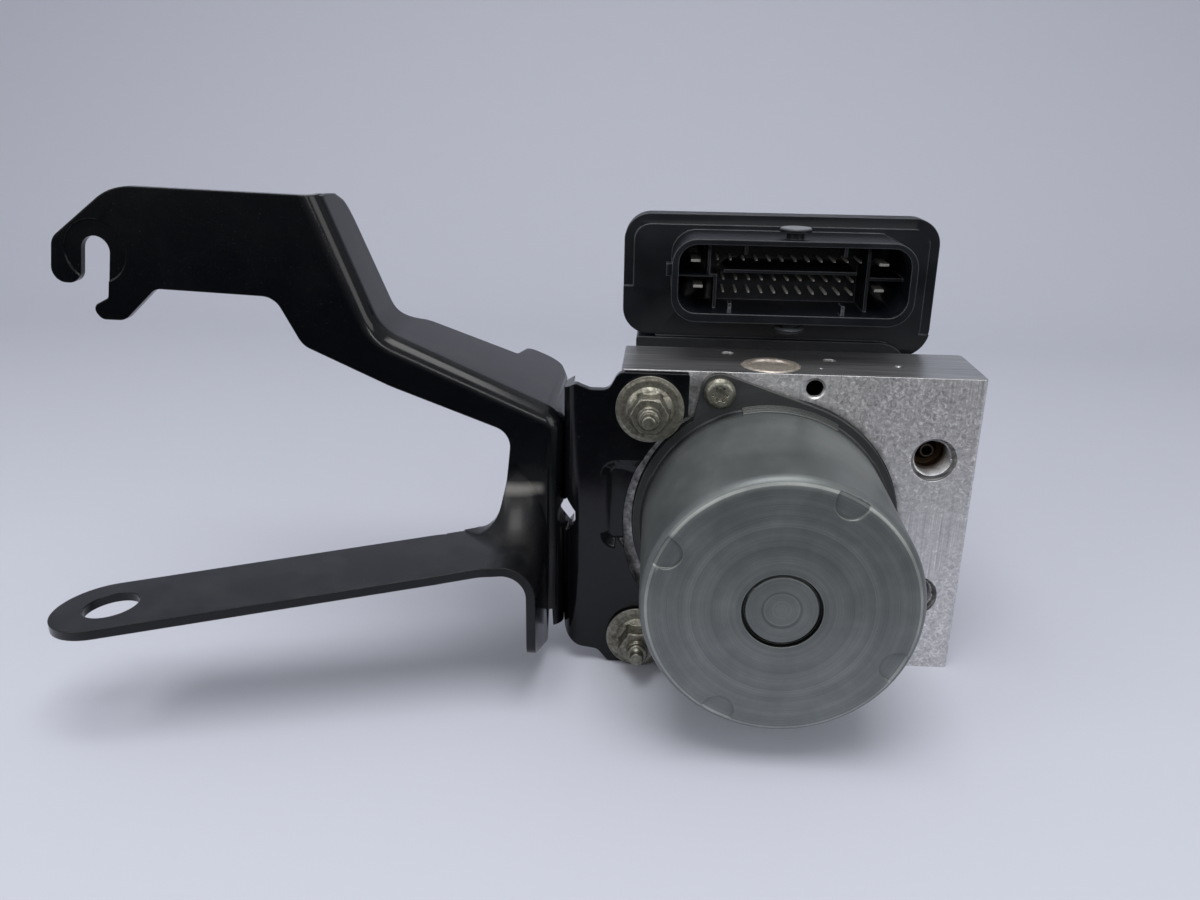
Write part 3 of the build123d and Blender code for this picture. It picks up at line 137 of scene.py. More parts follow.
floor_mesh = bmesh.new()
profile = [Vector((-floor_half_width, floor_front, 0)), Vector((-floor_half_width, floor_back, 0))]
for step in range(1, sweep_steps + 1):
    angle = radians(90.0 * step / sweep_steps)
    swept_back = floor_back + sweep_radius * sin(angle)
    profile.append(Vector((-floor_half_width, swept_back, sweep_radius * (1 - cos(angle)))))
profile.append(Vector((-floor_half_width, floor_back + sweep_radius, backdrop_height)))
points = [floor_mesh.verts.new(point) for point in profile]
edges = [floor_mesh.edges.new(pair) for pair in zip(points, points[1:])]
swept = bmesh.ops.extrude_edge_only(floor_mesh, edges=edges)
moved = [item for item in swept["geom"] if isinstance(item, bmesh.types.BMVert)]
bmesh.ops.translate(floor_mesh, verts=moved, vec=(2 * floor_half_width, 0, 0))
bmesh.ops.recalc_face_normals(floor_mesh, faces=floor_mesh.faces)
floor_data = bpy.data.meshes.new("floor")
floor_mesh.to_mesh(floor_data)
floor_mesh.free()
floor_data.shade_smooth()
floor = bpy.data.objects.new("floor", floor_data)
bpy.context.scene.collection.objects.link(floor)
print("floor faces:", len(floor_data.polygons))

# %% [markdown]
# A node tree is easier to read when each node takes one line. This function makes a node, sets its
# own settings, fills its sockets and links it to earlier nodes. Colours are written as the hex
# values that a designer reads off a swatch, and one function turns them to linear light.


# %% Helpers for materials
def linear(hex_colour):
    """Linear colour with alpha from an sRGB hex value."""
    channels = [int(hex_colour[start : start + 2], 16) / 255 for start in (1, 3, 5)]
    return (*[c / 12.92 if c <= 0.04045 else ((c + 0.055) / 1.055) ** 2.4 for c in channels], 1.0)


def add_node(tree, kind, sockets=None, stops=None, **settings):
    """Node with its settings, its socket values or links, and the stops of a colour ramp."""
    node = tree.nodes.new("ShaderNode" + kind)
    for name, value in settings.items():
        setattr(node, name, value)
    for name, value in (sockets or {}).items():
        if isinstance(value, bpy.types.NodeSocket):
            tree.links.new(value, node.inputs[name])
        else:
            node.inputs[name].default_value = value
    for index, (position, colour) in enumerate(stops or []):
        elements = node.color_ramp.elements
        element = elements[index] if index < 2 else elements.new(position)
        element.position = position
        element.color = linear(colour)
    return node


def new_tree(name):
    """New material with an empty node tree, and that tree."""
    material = bpy.data.materials.new(name)
    material.use_nodes = True
    material.node_tree.nodes.clear()
    return material, material.node_tree


print("middle grey in linear light:", round(linear("#808080")[0], 3))

# %% [markdown]
# The light is an overcast sky: one wide soft source above and a little in front, and a dim
# surround that darkens below the horizon. Bent black sheet shows that sky as a thin bright line
# along each bend and stays black where it faces the dark foreground. Only the camera's own rays see
# the plain pale background.

# %% Floor material, lamps and world
material, tree = new_tree("pale_sheet")
shader = add_node(tree, "BsdfPrincipled", {"Base Color": linear("#bec0cb"), "Roughness": 0.75})
add_node(tree, "OutputMaterial", {"Surface": shader.outputs["BSDF"]})
floor_data.materials.append(material)

sky_strength = 0.70
world = bpy.data.worlds.new("overcast")
world.use_nodes = True
sky_tree = world.node_tree
sky_tree.nodes.clear()
direction = add_node(sky_tree, "TexCoord").outputs["Generated"]
height = add_node(sky_tree, "SeparateXYZ", {"Vector": direction}).outputs["Z"]
height_factor = add_node(sky_tree, "MapRange", {"Value": height, "From Min": -1.0}).outputs["Result"]
sky_stops = [(0.42, "#1c1d1f"), (0.58, "#b9bbc0"), (1.0, "#e9ebee")]
sky = add_node(sky_tree, "ValToRGB", {"Fac": height_factor}, sky_stops)
light = add_node(sky_tree, "Background", {"Color": sky.outputs["Color"], "Strength": sky_strength})
plain = add_node(sky_tree, "Background", {"Color": linear("#c6c8d3"), "Strength": 1.0})
ray = add_node(sky_tree, "LightPath").outputs["Is Camera Ray"]
mixed = add_node(sky_tree, "MixShader", {0: ray, 1: light.outputs[0], 2: plain.outputs[0]})
add_node(sky_tree, "OutputWorld", {"Surface": mixed.outputs[0]})
bpy.context.scene.world = world

# each lamp: its place, the point it aims at, its width and height in metres, and its watts
lamps = {
    "overhead": ((-0.05, -0.25, 0.85), (-0.03, 0.0, 0.05), (0.55, 0.55), 4.6),
    "left_fill": ((-0.75, -0.55, 0.45), (-0.05, 0.0, 0.06), (0.5, 0.5), 2.0),
    "right_fill": ((0.70, -0.60, 0.40), (0.0, 0.0, 0.06), (0.5, 0.5), 1.8),
    "front_band": ((-0.10, -1.25, 0.50), (-0.05, 0.0, 0.06), (1.3, 0.10), 2.6),
}
for name, (lamp_place, target, (width, height), watts) in lamps.items():
    lamp_data = bpy.data.lights.new(name, "AREA")
    lamp_data.shape = "RECTANGLE"
    lamp_data.size = width
    lamp_data.size_y = height
    lamp_data.energy = watts
    lamp = bpy.data.objects.new(name, lamp_data)
    lamp.location = lamp_place
    aim = Vector(target) - Vector(lamp_place)
    lamp.rotation_euler = aim.to_track_quat("-Z", "Y").to_euler()
    bpy.context.scene.collection.objects.link(lamp)
print("lamps:", len(lamps))

# %% [markdown]
# ## Real sizes in a material
#
# Object coordinates are in metres, so one Mapping node turns them to millimetres. A noise of scale
# one then changes about once in a millimetre, and the scale of every pattern below is one over its
# real size. The node also moves a pattern's centre, such as to the motor's axis, and stretches it
# where a grain runs one way.


# %% Measures of a surface
def in_millimetres(tree, centre=(0, 0, 0), stretch=(1, 1, 1)):
    """Object coordinates in millimetres from a centre, stretched where a grain runs one way."""
    scale = [MM_PER_METRE * factor for factor in stretch]
    offset = [-scale[axis] * centre[axis] for axis in range(3)]
    coordinates = add_node(tree, "TexCoord").outputs["Object"]
    mapping = add_node(tree, "Mapping", {"Vector": coordinates, "Location": offset, "Scale": scale})
    return mapping.outputs["Vector"]


def radius_about(tree, centre):
    """Distance in millimetres from an axis along Y through a centre."""
    flat = in_millimetres(tree, centre=centre, stretch=(1, 0, 1))
    return add_node(tree, "VectorMath", {0: flat}, operation="LENGTH").outputs["Value"]


def depth_from_front(tree):
    """Depth in millimetres behind the block's front face, less than nought on the motor."""
    return add_node(tree, "SeparateXYZ", {"Vector": in_millimetres(tree, centre=place(0, 0, 0))}).outputs["Y"]


def upward_mask(tree, low, high):
    """Nought where a face's normal rises by less than low, and one where it rises by high."""
    face_normal = add_node(tree, "NewGeometry").outputs["Normal"]
    rise = add_node(tree, "SeparateXYZ", {"Vector": face_normal}).outputs["Z"]
    return add_node(tree, "MapRange", {"Value": rise, "From Min": low, "From Max": high}).outputs["Result"]


# %% [markdown]
# ## Edges
#
# No real edge is perfectly sharp. Milled aluminium is deburred, sheet is rounded by its coat and
# moulded plastic has a small radius, and each of them catches a thin line of light. The Bevel node
# bends the shading across such an edge without another face in the mesh. Where its normal leaves
# the face's own, an edge is near, and that difference also marks where a finish is rubbed.


# %% Rubbed edges and the end of a material
bevel_samples = 6
flat_likeness, edge_likeness = 0.995, 0.80
finishes = {}


def edge_mask(tree, normal):
    """Nought on a face and rising to one at its edges, from the Bevel node's normal."""
    face_normal = add_node(tree, "NewGeometry").outputs["Normal"]
    likeness = add_node(tree, "VectorMath", {0: normal, 1: face_normal}, operation="DOT_PRODUCT")
    spread = {"Value": likeness.outputs["Value"], "From Min": flat_likeness, "From Max": edge_likeness}
    return add_node(tree, "MapRange", spread).outputs["Result"]


def finish_tree(tree, base, roughness, normal, metallic=0.0, **sockets):
    """Principled shader and output at the end of a material."""
    values = {"Base Color": base, "Roughness": roughness, "Normal": normal, "Metallic": metallic}
    values.update({name.replace("_", " "): value for name, value in sockets.items()})
    shader = add_node(tree, "BsdfPrincipled", values)
    add_node(tree, "OutputMaterial", {"Surface": shader.outputs["BSDF"]})


# %% [markdown]
# ## Machined aluminium
#
# The block is a length of extruded alloy, milled on all sides and then washed and aged. The cutter
# leaves fine lines, upright on the front, and brake fluid and road salt etch a pale frost over
# them in flecks one to two millimetres wide. The top is the cleanest face and shows its lines, and
# its colour is painted darker as shade.

# %% Milled lines and frost
# lines some 30 mm long, twice as wide as the cutter's real ones, which are too fine to show
line_width = 0.35
line_stretch = 0.03
# flecks of frost in patches some 30 mm across, and smears of dirt 3 mm long
frost_size = 1.3
patch_scale = 0.035
smear_scale = 0.35


def milled_grain(tree, on_top):
    """Brightness of the milled lines, and of the frost over them on every face but the top."""
    upright = in_millimetres(tree, stretch=(1 / line_width, 0.4, line_stretch))
    level = in_millimetres(tree, stretch=(line_stretch, 1 / line_width, 0.6))
    front_lines = add_node(tree, "TexNoise", {"Vector": upright, "Scale": 1.0, "Detail": 3.0}).outputs["Fac"]
    top_lines = add_node(tree, "TexNoise", {"Vector": level, "Scale": 1.0, "Detail": 3.0}).outputs["Fac"]
    lines = add_node(tree, "Mix", {0: on_top, 2: front_lines, 3: top_lines}).outputs[0]
    frost_settings = {"Scale": 1 / frost_size, "Detail": 5.0, "Roughness": 0.68, "Distortion": 1.1}
    frost = add_node(tree, "TexNoise", {"Vector": in_millimetres(tree), **frost_settings}).outputs["Fac"]
    patch_settings = {"Scale": patch_scale, "Detail": 2.0, "Distortion": 0.5}
    patches = add_node(tree, "TexNoise", {"Vector": in_millimetres(tree), **patch_settings}).outputs["Fac"]
    frosted = add_node(tree, "MapRange", {"Value": patches, "From Min": 0.24, "From Max": 0.50})
    off_top = add_node(tree, "Math", {0: 1.0, 1: on_top}, operation="SUBTRACT").outputs[0]
    amount = add_node(tree, "Math", {0: frosted.outputs["Result"], 1: off_top}, operation="MULTIPLY").outputs[0]
    return add_node(tree, "Mix", {0: amount, 2: lines, 3: frost}).outputs[0]


# %% [markdown]
# Road dirt lies in a ring round the motor's flange and spreads wider on the side of the bracket.
# Old fluid and dust leave a brown residue in the open ports, and the tapped hole is painted dark inside as
# shade.
# Each is a mask from a distance, so its edge can be written in millimetres.

# %% Dirt round the motor, stains in the ports and painted shade in the tapped hole
dirt_edge, dirt_full = 42.5, 38.0
spread_edge, spread_full, spread_share = 56.0, 45.0, 0.85
side_edge, side_full = -8.0, -20.0
# each hole: its place, the radii and the depths between which its mark sets in, and the colour;
# the ports' marks are stains, and the tapped hole's is painted shade
stained_and_shaded_holes = [
    (port_places[0], (6.3, 5.9), (2.0, 9.0), "#4a3b2e"),
    (port_places[1], (6.3, 5.9), (2.0, 9.0), "#4a3b2e"),
    # painted shade: the tapped hole is painted near-black inside
    (screw_hole_place, (2.7, 2.6), (0.3, 1.5), "#0c0a09"),
]


def road_dirt(tree, on_top):
    """Nought on clean metal and up to one in the dirt round the motor."""
    radius = radius_about(tree, motor_centre)
    near = add_node(tree, "MapRange", {"Value": radius, "From Min": dirt_edge, "From Max": dirt_full})
    side = add_node(tree, "SeparateXYZ", {"Vector": in_millimetres(tree, centre=motor_centre)}).outputs["X"]
    beside = add_node(tree, "MapRange", {"Value": side, "From Min": side_edge, "From Max": side_full})
    wide = add_node(tree, "MapRange", {"Value": radius, "From Min": spread_edge, "From Max": spread_full})
    wide = add_node(
        tree, "Math", {0: wide.outputs["Result"], 1: beside.outputs["Result"]}, operation="MULTIPLY"
    ).outputs[0]
    wide = add_node(tree, "Math", {0: wide, 1: spread_share}, operation="MULTIPLY").outputs[0]
    near = add_node(tree, "Math", {0: near.outputs["Result"], 1: wide}, operation="MAXIMUM").outputs[0]
    near = add_node(tree, "Mix", {0: on_top, 2: near, 3: 0.0}).outputs[0]
    smear_settings = {"Scale": smear_scale, "Detail": 6.0, "Roughness": 0.7}
    smear = add_node(tree, "TexNoise", {"Vector": in_millimetres(tree), **smear_settings}).outputs["Fac"]
    dirt = add_node(tree, "Math", {0: near, 1: smear}, operation="MULTIPLY").outputs[0]
    return add_node(tree, "MapRange", {"Value": dirt, "From Min": 0.22, "From Max": 0.60}).outputs["Result"]


def stained_and_shaded(tree, base):
    """Colour of the block with the stain of each port and the painted shade of the tapped hole over it."""
    depth = depth_from_front(tree)
    for (across, up), (rim, wall), (shallow, deep), colour in stained_and_shaded_holes:
        radius = radius_about(tree, place(across, 0, up))
        within = add_node(tree, "MapRange", {"Value": radius, "From Min": rim, "From Max": wall})
        sunk = add_node(tree, "MapRange", {"Value": depth, "From Min": shallow, "From Max": deep})
        both = {0: within.outputs["Result"], 1: sunk.outputs["Result"]}
        stain_and_shade = add_node(tree, "Math", both, operation="MULTIPLY").outputs[0]
        base = add_node(tree, "Mix", {0: stain_and_shade, 6: base, 7: linear(colour)}, data_type="RGBA").outputs[2]
    return base


print("stained holes:", len(stained_and_shaded_holes))

# %% [markdown]
# The colour follows the grain, brighter where the frost is thick, and the frost is rougher than the
# milled metal under it. The mouth of the tapped hole is countersunk by half a millimetre. That is
# too fine for a face of its own, so a second bump turns the light there.

# %% Aluminium of the hydraulic block
countersink_edge, countersink_full = 2.6, 3.1
countersink_depth = 0.5


def machined_aluminium():
    """Milled and frosted alloy with its dirt, its stains, its painted shade on the top and in the tapped hole,
    and its countersink.
    """
    material, tree = new_tree("machined_aluminium")
    on_top = upward_mask(tree, 0.4, 0.6)
    grain = milled_grain(tree, on_top)
    frosted_stops = [(0.30, "#a2a2a5"), (0.45, "#c0bfc0"), (0.56, "#d2d1d1"), (0.70, "#f6f5f4")]
    tone = add_node(tree, "ValToRGB", {"Fac": grain}, frosted_stops).outputs["Color"]
    # the top has no frost, and its darker ramp is painted shade
    clean_shaded_top_stops = [(0.34, "#8d8e93"), (0.50, "#abacaf"), (0.66, "#cecdcc")]
    clean_shaded_top = add_node(tree, "ValToRGB", {"Fac": grain}, clean_shaded_top_stops).outputs["Color"]
    tone = add_node(tree, "Mix", {0: on_top, 6: tone, 7: clean_shaded_top}, data_type="RGBA").outputs[2]
    dirt = road_dirt(tree, on_top)
    base = add_node(tree, "Mix", {0: dirt, 6: tone, 7: linear("#3a3835")}, data_type="RGBA").outputs[2]
    base = stained_and_shaded(tree, base)
    dulled = {"Value": grain, "From Min": 0.3, "From Max": 0.7, "To Min": 0.36, "To Max": 0.52}
    roughness = add_node(tree, "MapRange", dulled).outputs["Result"]
    roughness = add_node(tree, "Math", {0: on_top, 1: -0.08, 2: roughness}, operation="MULTIPLY_ADD").outputs[0]
    edges = add_node(tree, "Bevel", {"Radius": 0.35 * MM}, samples=bevel_samples).outputs["Normal"]
    grain_bump = {"Height": grain, "Strength": 0.25, "Distance": 0.02 * MM, "Normal": edges}
    grained_normal = add_node(tree, "Bump", grain_bump).outputs["Normal"]
    radius = radius_about(tree, place(screw_hole_place[0], 0, screw_hole_place[1]))
    cone = {"Value": radius, "From Min": countersink_edge, "From Max": countersink_full}
    sink = add_node(tree, "MapRange", cone).outputs["Result"]
    sink_bump = {"Height": sink, "Strength": 1.0, "Distance": countersink_depth * MM, "Normal": grained_normal}
    normal = add_node(tree, "Bump", sink_bump).outputs["Normal"]
    finish_tree(tree, base, roughness, normal, metallic=0.9)
    return material


finishes["block_aluminium"] = machined_aluminium()
print("nodes of the aluminium:", len(finishes["block_aluminium"].node_tree.nodes))

# %% [markdown]
# ## The motor's coated steel
#
# The can is deep-drawn from steel strip and dip-coated with zinc flakes, a grey with a breath of
# green. Narrow marks are painted on it: painted shade at the foot of each rolled step beside the
# block, a painted highlight just inside the rim of the face, and painted shade at the edge of the
# dish and in the deep groove round the boss. Each is a Compare node, which gives one within half a
# width of a radius or depth and nought elsewhere.

# %% Painted shade and highlight marks on the motor's can
boss_radius = 9.3
boss_groove = 0.7
dish_radius = 4.8
rim_highlight_radius = can_radius - 2.3
step_foot_shade_depths = (-3.35, -4.55, -5.9)
face_starts, face_full = -50.0, -52.0
soil_starts, soil_full = -7.5, -2.5


def marked(tree, tone, radius, cloud):
    """Colour of the can with the soil beside the block and every narrow painted shade and highlight mark over
    it.
    """
    depth = depth_from_front(tree)
    close = add_node(tree, "MapRange", {"Value": depth, "From Min": soil_starts, "From Max": soil_full})
    close = close.outputs["Result"]
    soil = add_node(tree, "Mix", {0: 0.35, 2: close, 3: cloud}).outputs[0]
    soil = add_node(tree, "Math", {0: soil, 1: close}, operation="MULTIPLY").outputs[0]
    tone = add_node(tree, "Mix", {0: soil, 6: tone, 7: linear("#2b2b2c")}, data_type="RGBA").outputs[2]
    on_face = add_node(tree, "MapRange", {"Value": depth, "From Min": face_starts, "From Max": face_full})
    cloudy = add_node(tree, "Math", {0: on_face.outputs["Result"], 1: cloud}, operation="MULTIPLY").outputs[0]
    # each mark: what it is measured along, its middle and half its width, its strength and colour
    # painted shade at the step feet, the dish's edge and the boss groove; a painted highlight inside the rim
    marks = [(depth, foot, 0.16, 0.75, "#1c1d1c") for foot in step_foot_shade_depths]
    marks.append((radius, rim_highlight_radius, 0.35, cloudy, "#a9aca8"))
    marks.append((radius, dish_radius, 0.25, 0.45, "#3c403f"))
    marks.append((radius, boss_radius + boss_groove / 2, boss_groove / 2, 1.0, "#0c0d0e"))
    for along, middle, half_width, strength, colour in marks:
        mark = add_node(tree, "Math", {0: along, 1: middle, 2: half_width}, operation="COMPARE").outputs[0]
        mark = add_node(tree, "Math", {0: mark, 1: strength}, operation="MULTIPLY").outputs[0]
        tone = add_node(tree, "Mix", {0: mark, 6: tone, 7: linear(colour)}, data_type="RGBA").outputs[2]
    return tone


print("pale line of the rim:", rim_highlight_radius, "mm from the axis")

# %% [markdown]
# The punch that drew the can turned against its face and left rings of slightly different grey.
# They are noise read along the radius only, fine ones a third of a millimetre wide over broad ones
# of three. Clouds in the coat break them up, so that no ring is even all the way round.

# %% Zinc flake coat of the motor
# rings 0.3 and 3 mm wide, clouds of 11 mm and specks of 0.4 mm
fine_ring_scale = 3.2
broad_ring_scale = 0.33
coat_cloud_scale = 0.09
coat_speck_scale = 2.6


def zinc_flake_coat():
    """Grey flake coat with turned rings, marks and rubbed edges."""
    material, tree = new_tree("zinc_flake_coat")
    radius = radius_about(tree, motor_centre)
    fine_settings = {"W": radius, "Scale": fine_ring_scale, "Detail": 3.0, "Roughness": 0.6}
    fine = add_node(tree, "TexNoise", fine_settings, noise_dimensions="1D").outputs["Fac"]
    broad_settings = {"W": radius, "Scale": broad_ring_scale, "Detail": 2.0}
    broad = add_node(tree, "TexNoise", broad_settings, noise_dimensions="1D").outputs["Fac"]
    rings = add_node(tree, "Mix", {0: 0.45, 2: broad, 3: fine}).outputs[0]
    drawn = in_millimetres(tree, stretch=(1, 0.5, 1))
    cloud_settings = {"Vector": drawn, "Scale": coat_cloud_scale, "Detail": 5.0, "Roughness": 0.6}
    cloud = add_node(tree, "TexNoise", cloud_settings).outputs["Fac"]
    mixed = add_node(tree, "Mix", {0: 0.4, 2: rings, 3: cloud}).outputs[0]
    flake_stops = [(0.32, "#585c5d"), (0.50, "#696d6d"), (0.68, "#7d8080")]
    tone = add_node(tree, "ValToRGB", {"Fac": mixed}, flake_stops).outputs["Color"]
    tone = marked(tree, tone, radius, cloud)
    edges = add_node(tree, "Bevel", {"Radius": 0.5 * MM}, samples=bevel_samples).outputs["Normal"]
    rubbed = edge_mask(tree, edges)
    rubbed = add_node(tree, "Math", {0: rubbed, 1: 0.25}, operation="MULTIPLY").outputs[0]
    base = add_node(tree, "Mix", {0: rubbed, 6: tone, 7: linear("#96988f")}, data_type="RGBA").outputs[2]
    satin = {"Value": mixed, "From Min": 0.3, "From Max": 0.7, "To Min": 0.36, "To Max": 0.48}
    roughness = add_node(tree, "MapRange", satin).outputs["Result"]
    speck_settings = {"Vector": in_millimetres(tree), "Scale": coat_speck_scale, "Detail": 2.0}
    speck = add_node(tree, "TexNoise", speck_settings).outputs["Fac"]
    height = add_node(tree, "Mix", {0: 0.35, 2: fine, 3: speck}).outputs[0]
    ring_bump = {"Height": height, "Strength": 0.35, "Distance": 0.02 * MM, "Normal": edges}
    normal = add_node(tree, "Bump", ring_bump).outputs["Normal"]
    finish_tree(tree, base, roughness, normal, metallic=0.55)
    return material


finishes["motor_steel"] = zinc_flake_coat()
print("nodes of the flake coat:", len(finishes["motor_steel"].node_tree.nodes))

# %% [markdown]
# ## Black dip coat on the bracket
#
# Hands and tools rub the drawn rise of the bracket dull, and one pale band is painted where its
# bend begins: a painted highlight, the sky mirrored in the bend. The dull place is a distance from
# the middle of the rise, and the band is a soft-edged oblong, the product of a mask across it and
# one along it.

# %% Dull rise and painted highlight band of the bracket
rise_place = place(-25.5, 0, 48.0)
rise_edge, rise_full = 10.0, 7.0
highlight_band_place = place(-27.5, 0, 56.5)
highlight_band_half_width = (2.3, 0.4)
highlight_band_half_length = (6.5, 4.5)


def dull_rise_and_painted_band(tree, base, roughness, haze):
    """Roughness of the paint where the drawn rise is worn, and the painted highlight band in its colour."""
    from_rise = in_millimetres(tree, centre=rise_place, stretch=(1, 0, 0.6))
    reach = add_node(tree, "VectorMath", {0: from_rise}, operation="LENGTH").outputs["Value"]
    dull = add_node(tree, "MapRange", {"Value": reach, "From Min": rise_edge, "From Max": rise_full})
    roughness = add_node(tree, "Mix", {0: dull.outputs["Result"], 2: roughness, 3: 0.44}).outputs[0]
    over_highlight_band = add_node(tree, "SeparateXYZ", {"Vector": in_millimetres(tree, centre=highlight_band_place)})
    highlight_band = haze
    for direction, (edge, full) in (("Z", highlight_band_half_width), ("X", highlight_band_half_length)):
        off_middle = add_node(tree, "Math", {0: over_highlight_band.outputs[direction]}, operation="ABSOLUTE").outputs[0]
        inside = add_node(tree, "MapRange", {"Value": off_middle, "From Min": edge, "From Max": full})
        highlight_band = add_node(tree, "Math", {0: highlight_band, 1: inside.outputs["Result"]}, operation="MULTIPLY").outputs[0]
    # painted highlight: a pale band where the bend would mirror the sky
    base = add_node(tree, "Mix", {0: highlight_band, 6: base, 7: linear("#84827e")}, data_type="RGBA").outputs[2]
    return base, roughness


# %% [markdown]
# Stamped steel is dipped in black paint that flows into a glossy skin with a faint orange peel. It
# is nearly black, so what the eye reads is only what it mirrors. Handling leaves a haze of fine
# scuffs and dust that dulls the mirror here and there and lies thickest where a face looks up.

# %% Black paint of the bracket
# orange peel of 1.25 mm, haze of 17 mm and flecks of dust under half a millimetre
peel_scale = 0.8
haze_scale = 0.06
dust_scale = 2.2


def black_dip_coat():
    """Glossy black paint with orange peel, haze, dust and wear."""
    material, tree = new_tree("black_dip_coat")
    peel_settings = {"Vector": in_millimetres(tree), "Scale": peel_scale, "Detail": 2.0}
    peel = add_node(tree, "TexNoise", peel_settings).outputs["Fac"]
    haze_settings = {"Scale": haze_scale, "Detail": 6.0, "Roughness": 0.65, "Distortion": 0.4}
    haze = add_node(tree, "TexNoise", {"Vector": in_millimetres(tree), **haze_settings}).outputs["Fac"]
    dust_settings = {"Vector": in_millimetres(tree), "Scale": dust_scale, "Detail": 3.0}
    dust = add_node(tree, "TexNoise", dust_settings).outputs["Fac"]
    flecks = add_node(tree, "MapRange", {"Value": dust, "From Min": 0.66, "From Max": 0.74}).outputs["Result"]
    hazy = add_node(tree, "MapRange", {"Value": haze, "From Min": 0.45, "From Max": 0.75}).outputs["Result"]
    upward = upward_mask(tree, 0.3, 0.9)
    settled = add_node(tree, "MapRange", {"Value": upward, "To Min": 0.0, "To Max": 0.36}).outputs["Result"]
    veil = add_node(tree, "Math", {0: hazy, 1: settled}, operation="MULTIPLY").outputs[0]
    dusty = {0: flecks, 1: 0.5, 2: veil}
    veil = add_node(tree, "Math", dusty, operation="MULTIPLY_ADD", use_clamp=True).outputs[0]
    colours = {0: veil, 6: linear("#08090c"), 7: linear("#3b3a39")}
    base = add_node(tree, "Mix", colours, data_type="RGBA").outputs[2]
    gloss = {"Value": haze, "From Min": 0.35, "From Max": 0.75, "To Min": 0.11, "To Max": 0.26}
    roughness = add_node(tree, "MapRange", gloss).outputs["Result"]
    base, roughness = dull_rise_and_painted_band(tree, base, roughness, haze)
    edges = add_node(tree, "Bevel", {"Radius": 0.5 * MM}, samples=bevel_samples).outputs["Normal"]
    peel_bump = {"Height": peel, "Strength": 0.12, "Distance": 0.03 * MM, "Normal": edges}
    normal = add_node(tree, "Bump", peel_bump).outputs["Normal"]
    finish_tree(tree, base, roughness, normal, Specular_IOR_Level=0.30, Coat_Weight=0.06, Coat_Roughness=0.12)
    return material


finishes["black_coat"] = black_dip_coat()
print("nodes of the dip coat:", len(finishes["black_coat"].node_tree.nodes))

# %% [markdown]
# ## Glass-filled nylon of the control unit
#
# The tops of the mushroom pins above and below the shroud are painted pale: a painted reflection of
# the sky. One upright cylinder holds both pins, and the height of the shroud between them is left out.

# %% Painted reflection on the tops of the shroud's pins
lever_pin_place = (47.6, 14.3)
pin_edge, pin_full = 4.5, 4.2
shroud_middle = 115.3
shroud_half_height = (12.2, 12.8)


def pin_top_painted_reflection(tree):
    """One on the tops of the pins, and nought on the shroud between them and elsewhere."""
    from_pins = in_millimetres(tree, centre=place(*lever_pin_place, 0), stretch=(1, 1, 0))
    off_pins = add_node(tree, "VectorMath", {0: from_pins}, operation="LENGTH").outputs["Value"]
    on_pins = add_node(tree, "MapRange", {"Value": off_pins, "From Min": pin_edge, "From Max": pin_full})
    from_middle = in_millimetres(tree, centre=place(0, 0, shroud_middle))
    level = add_node(tree, "SeparateXYZ", {"Vector": from_middle}).outputs["Z"]
    level = add_node(tree, "Math", {0: level}, operation="ABSOLUTE").outputs[0]
    shroud_wall, shroud_clear = shroud_half_height
    outside = add_node(tree, "MapRange", {"Value": level, "From Min": shroud_wall, "From Max": shroud_clear})
    upward = upward_mask(tree, 0.5, 0.8)
    tops = add_node(tree, "Math", {0: on_pins.outputs["Result"], 1: upward}, operation="MULTIPLY").outputs[0]
    return add_node(tree, "Math", {0: tops, 1: outside.outputs["Result"]}, operation="MULTIPLY").outputs[0]


# %% [markdown]
# The housing is moulded from black nylon with glass fibre. Spark-eroded moulds give its faces a
# fine satin grain, and its rims are polished by handling until they show as pale lines.

# %% Black nylon of the control unit
# grain of 0.3 mm, about three times the real one, which is too fine to show, and clouds of 12 mm
moulded_grain_scale = 3.5
moulded_cloud_scale = 0.08


def black_nylon():
    """Black moulding with a satin grain, pale polished rims and a painted reflection on the pin tops."""
    material, tree = new_tree("black_glass_filled_nylon")
    fine_grain = {"Scale": moulded_grain_scale, "Detail": 3.0, "Roughness": 0.7}
    grain = add_node(tree, "TexNoise", {"Vector": in_millimetres(tree), **fine_grain}).outputs["Fac"]
    cloud_settings = {"Vector": in_millimetres(tree), "Scale": moulded_cloud_scale, "Detail": 4.0}
    cloud = add_node(tree, "TexNoise", cloud_settings).outputs["Fac"]
    edges = add_node(tree, "Bevel", {"Radius": 0.5 * MM}, samples=bevel_samples).outputs["Normal"]
    rubbed = edge_mask(tree, edges)
    rubbed = add_node(tree, "Math", {0: rubbed, 1: cloud}, operation="MULTIPLY").outputs[0]
    # the pin tops take the rims' pale colour as a painted reflection of the sky
    rubbed = add_node(tree, "Math", {0: rubbed, 1: pin_top_painted_reflection(tree)}, operation="MAXIMUM").outputs[0]
    tone = add_node(tree, "ValToRGB", {"Fac": cloud}, [(0.35, "#020409"), (0.65, "#070a12")]).outputs["Color"]
    base = add_node(tree, "Mix", {0: rubbed, 6: tone, 7: linear("#73767a")}, data_type="RGBA").outputs[2]
    satin = {"Value": cloud, "From Min": 0.3, "From Max": 0.7, "To Min": 0.34, "To Max": 0.46}
    roughness = add_node(tree, "MapRange", satin).outputs["Result"]
    grain_bump = {"Height": grain, "Strength": 0.30, "Distance": 0.02 * MM, "Normal": edges}
    normal = add_node(tree, "Bump", grain_bump).outputs["Normal"]
    finish_tree(tree, base, roughness, normal, Specular_IOR_Level=0.32)
    return material


finishes["unit_plastic"] = black_nylon()
print("nodes of the nylon:", len(finishes["unit_plastic"].node_tree.nodes))

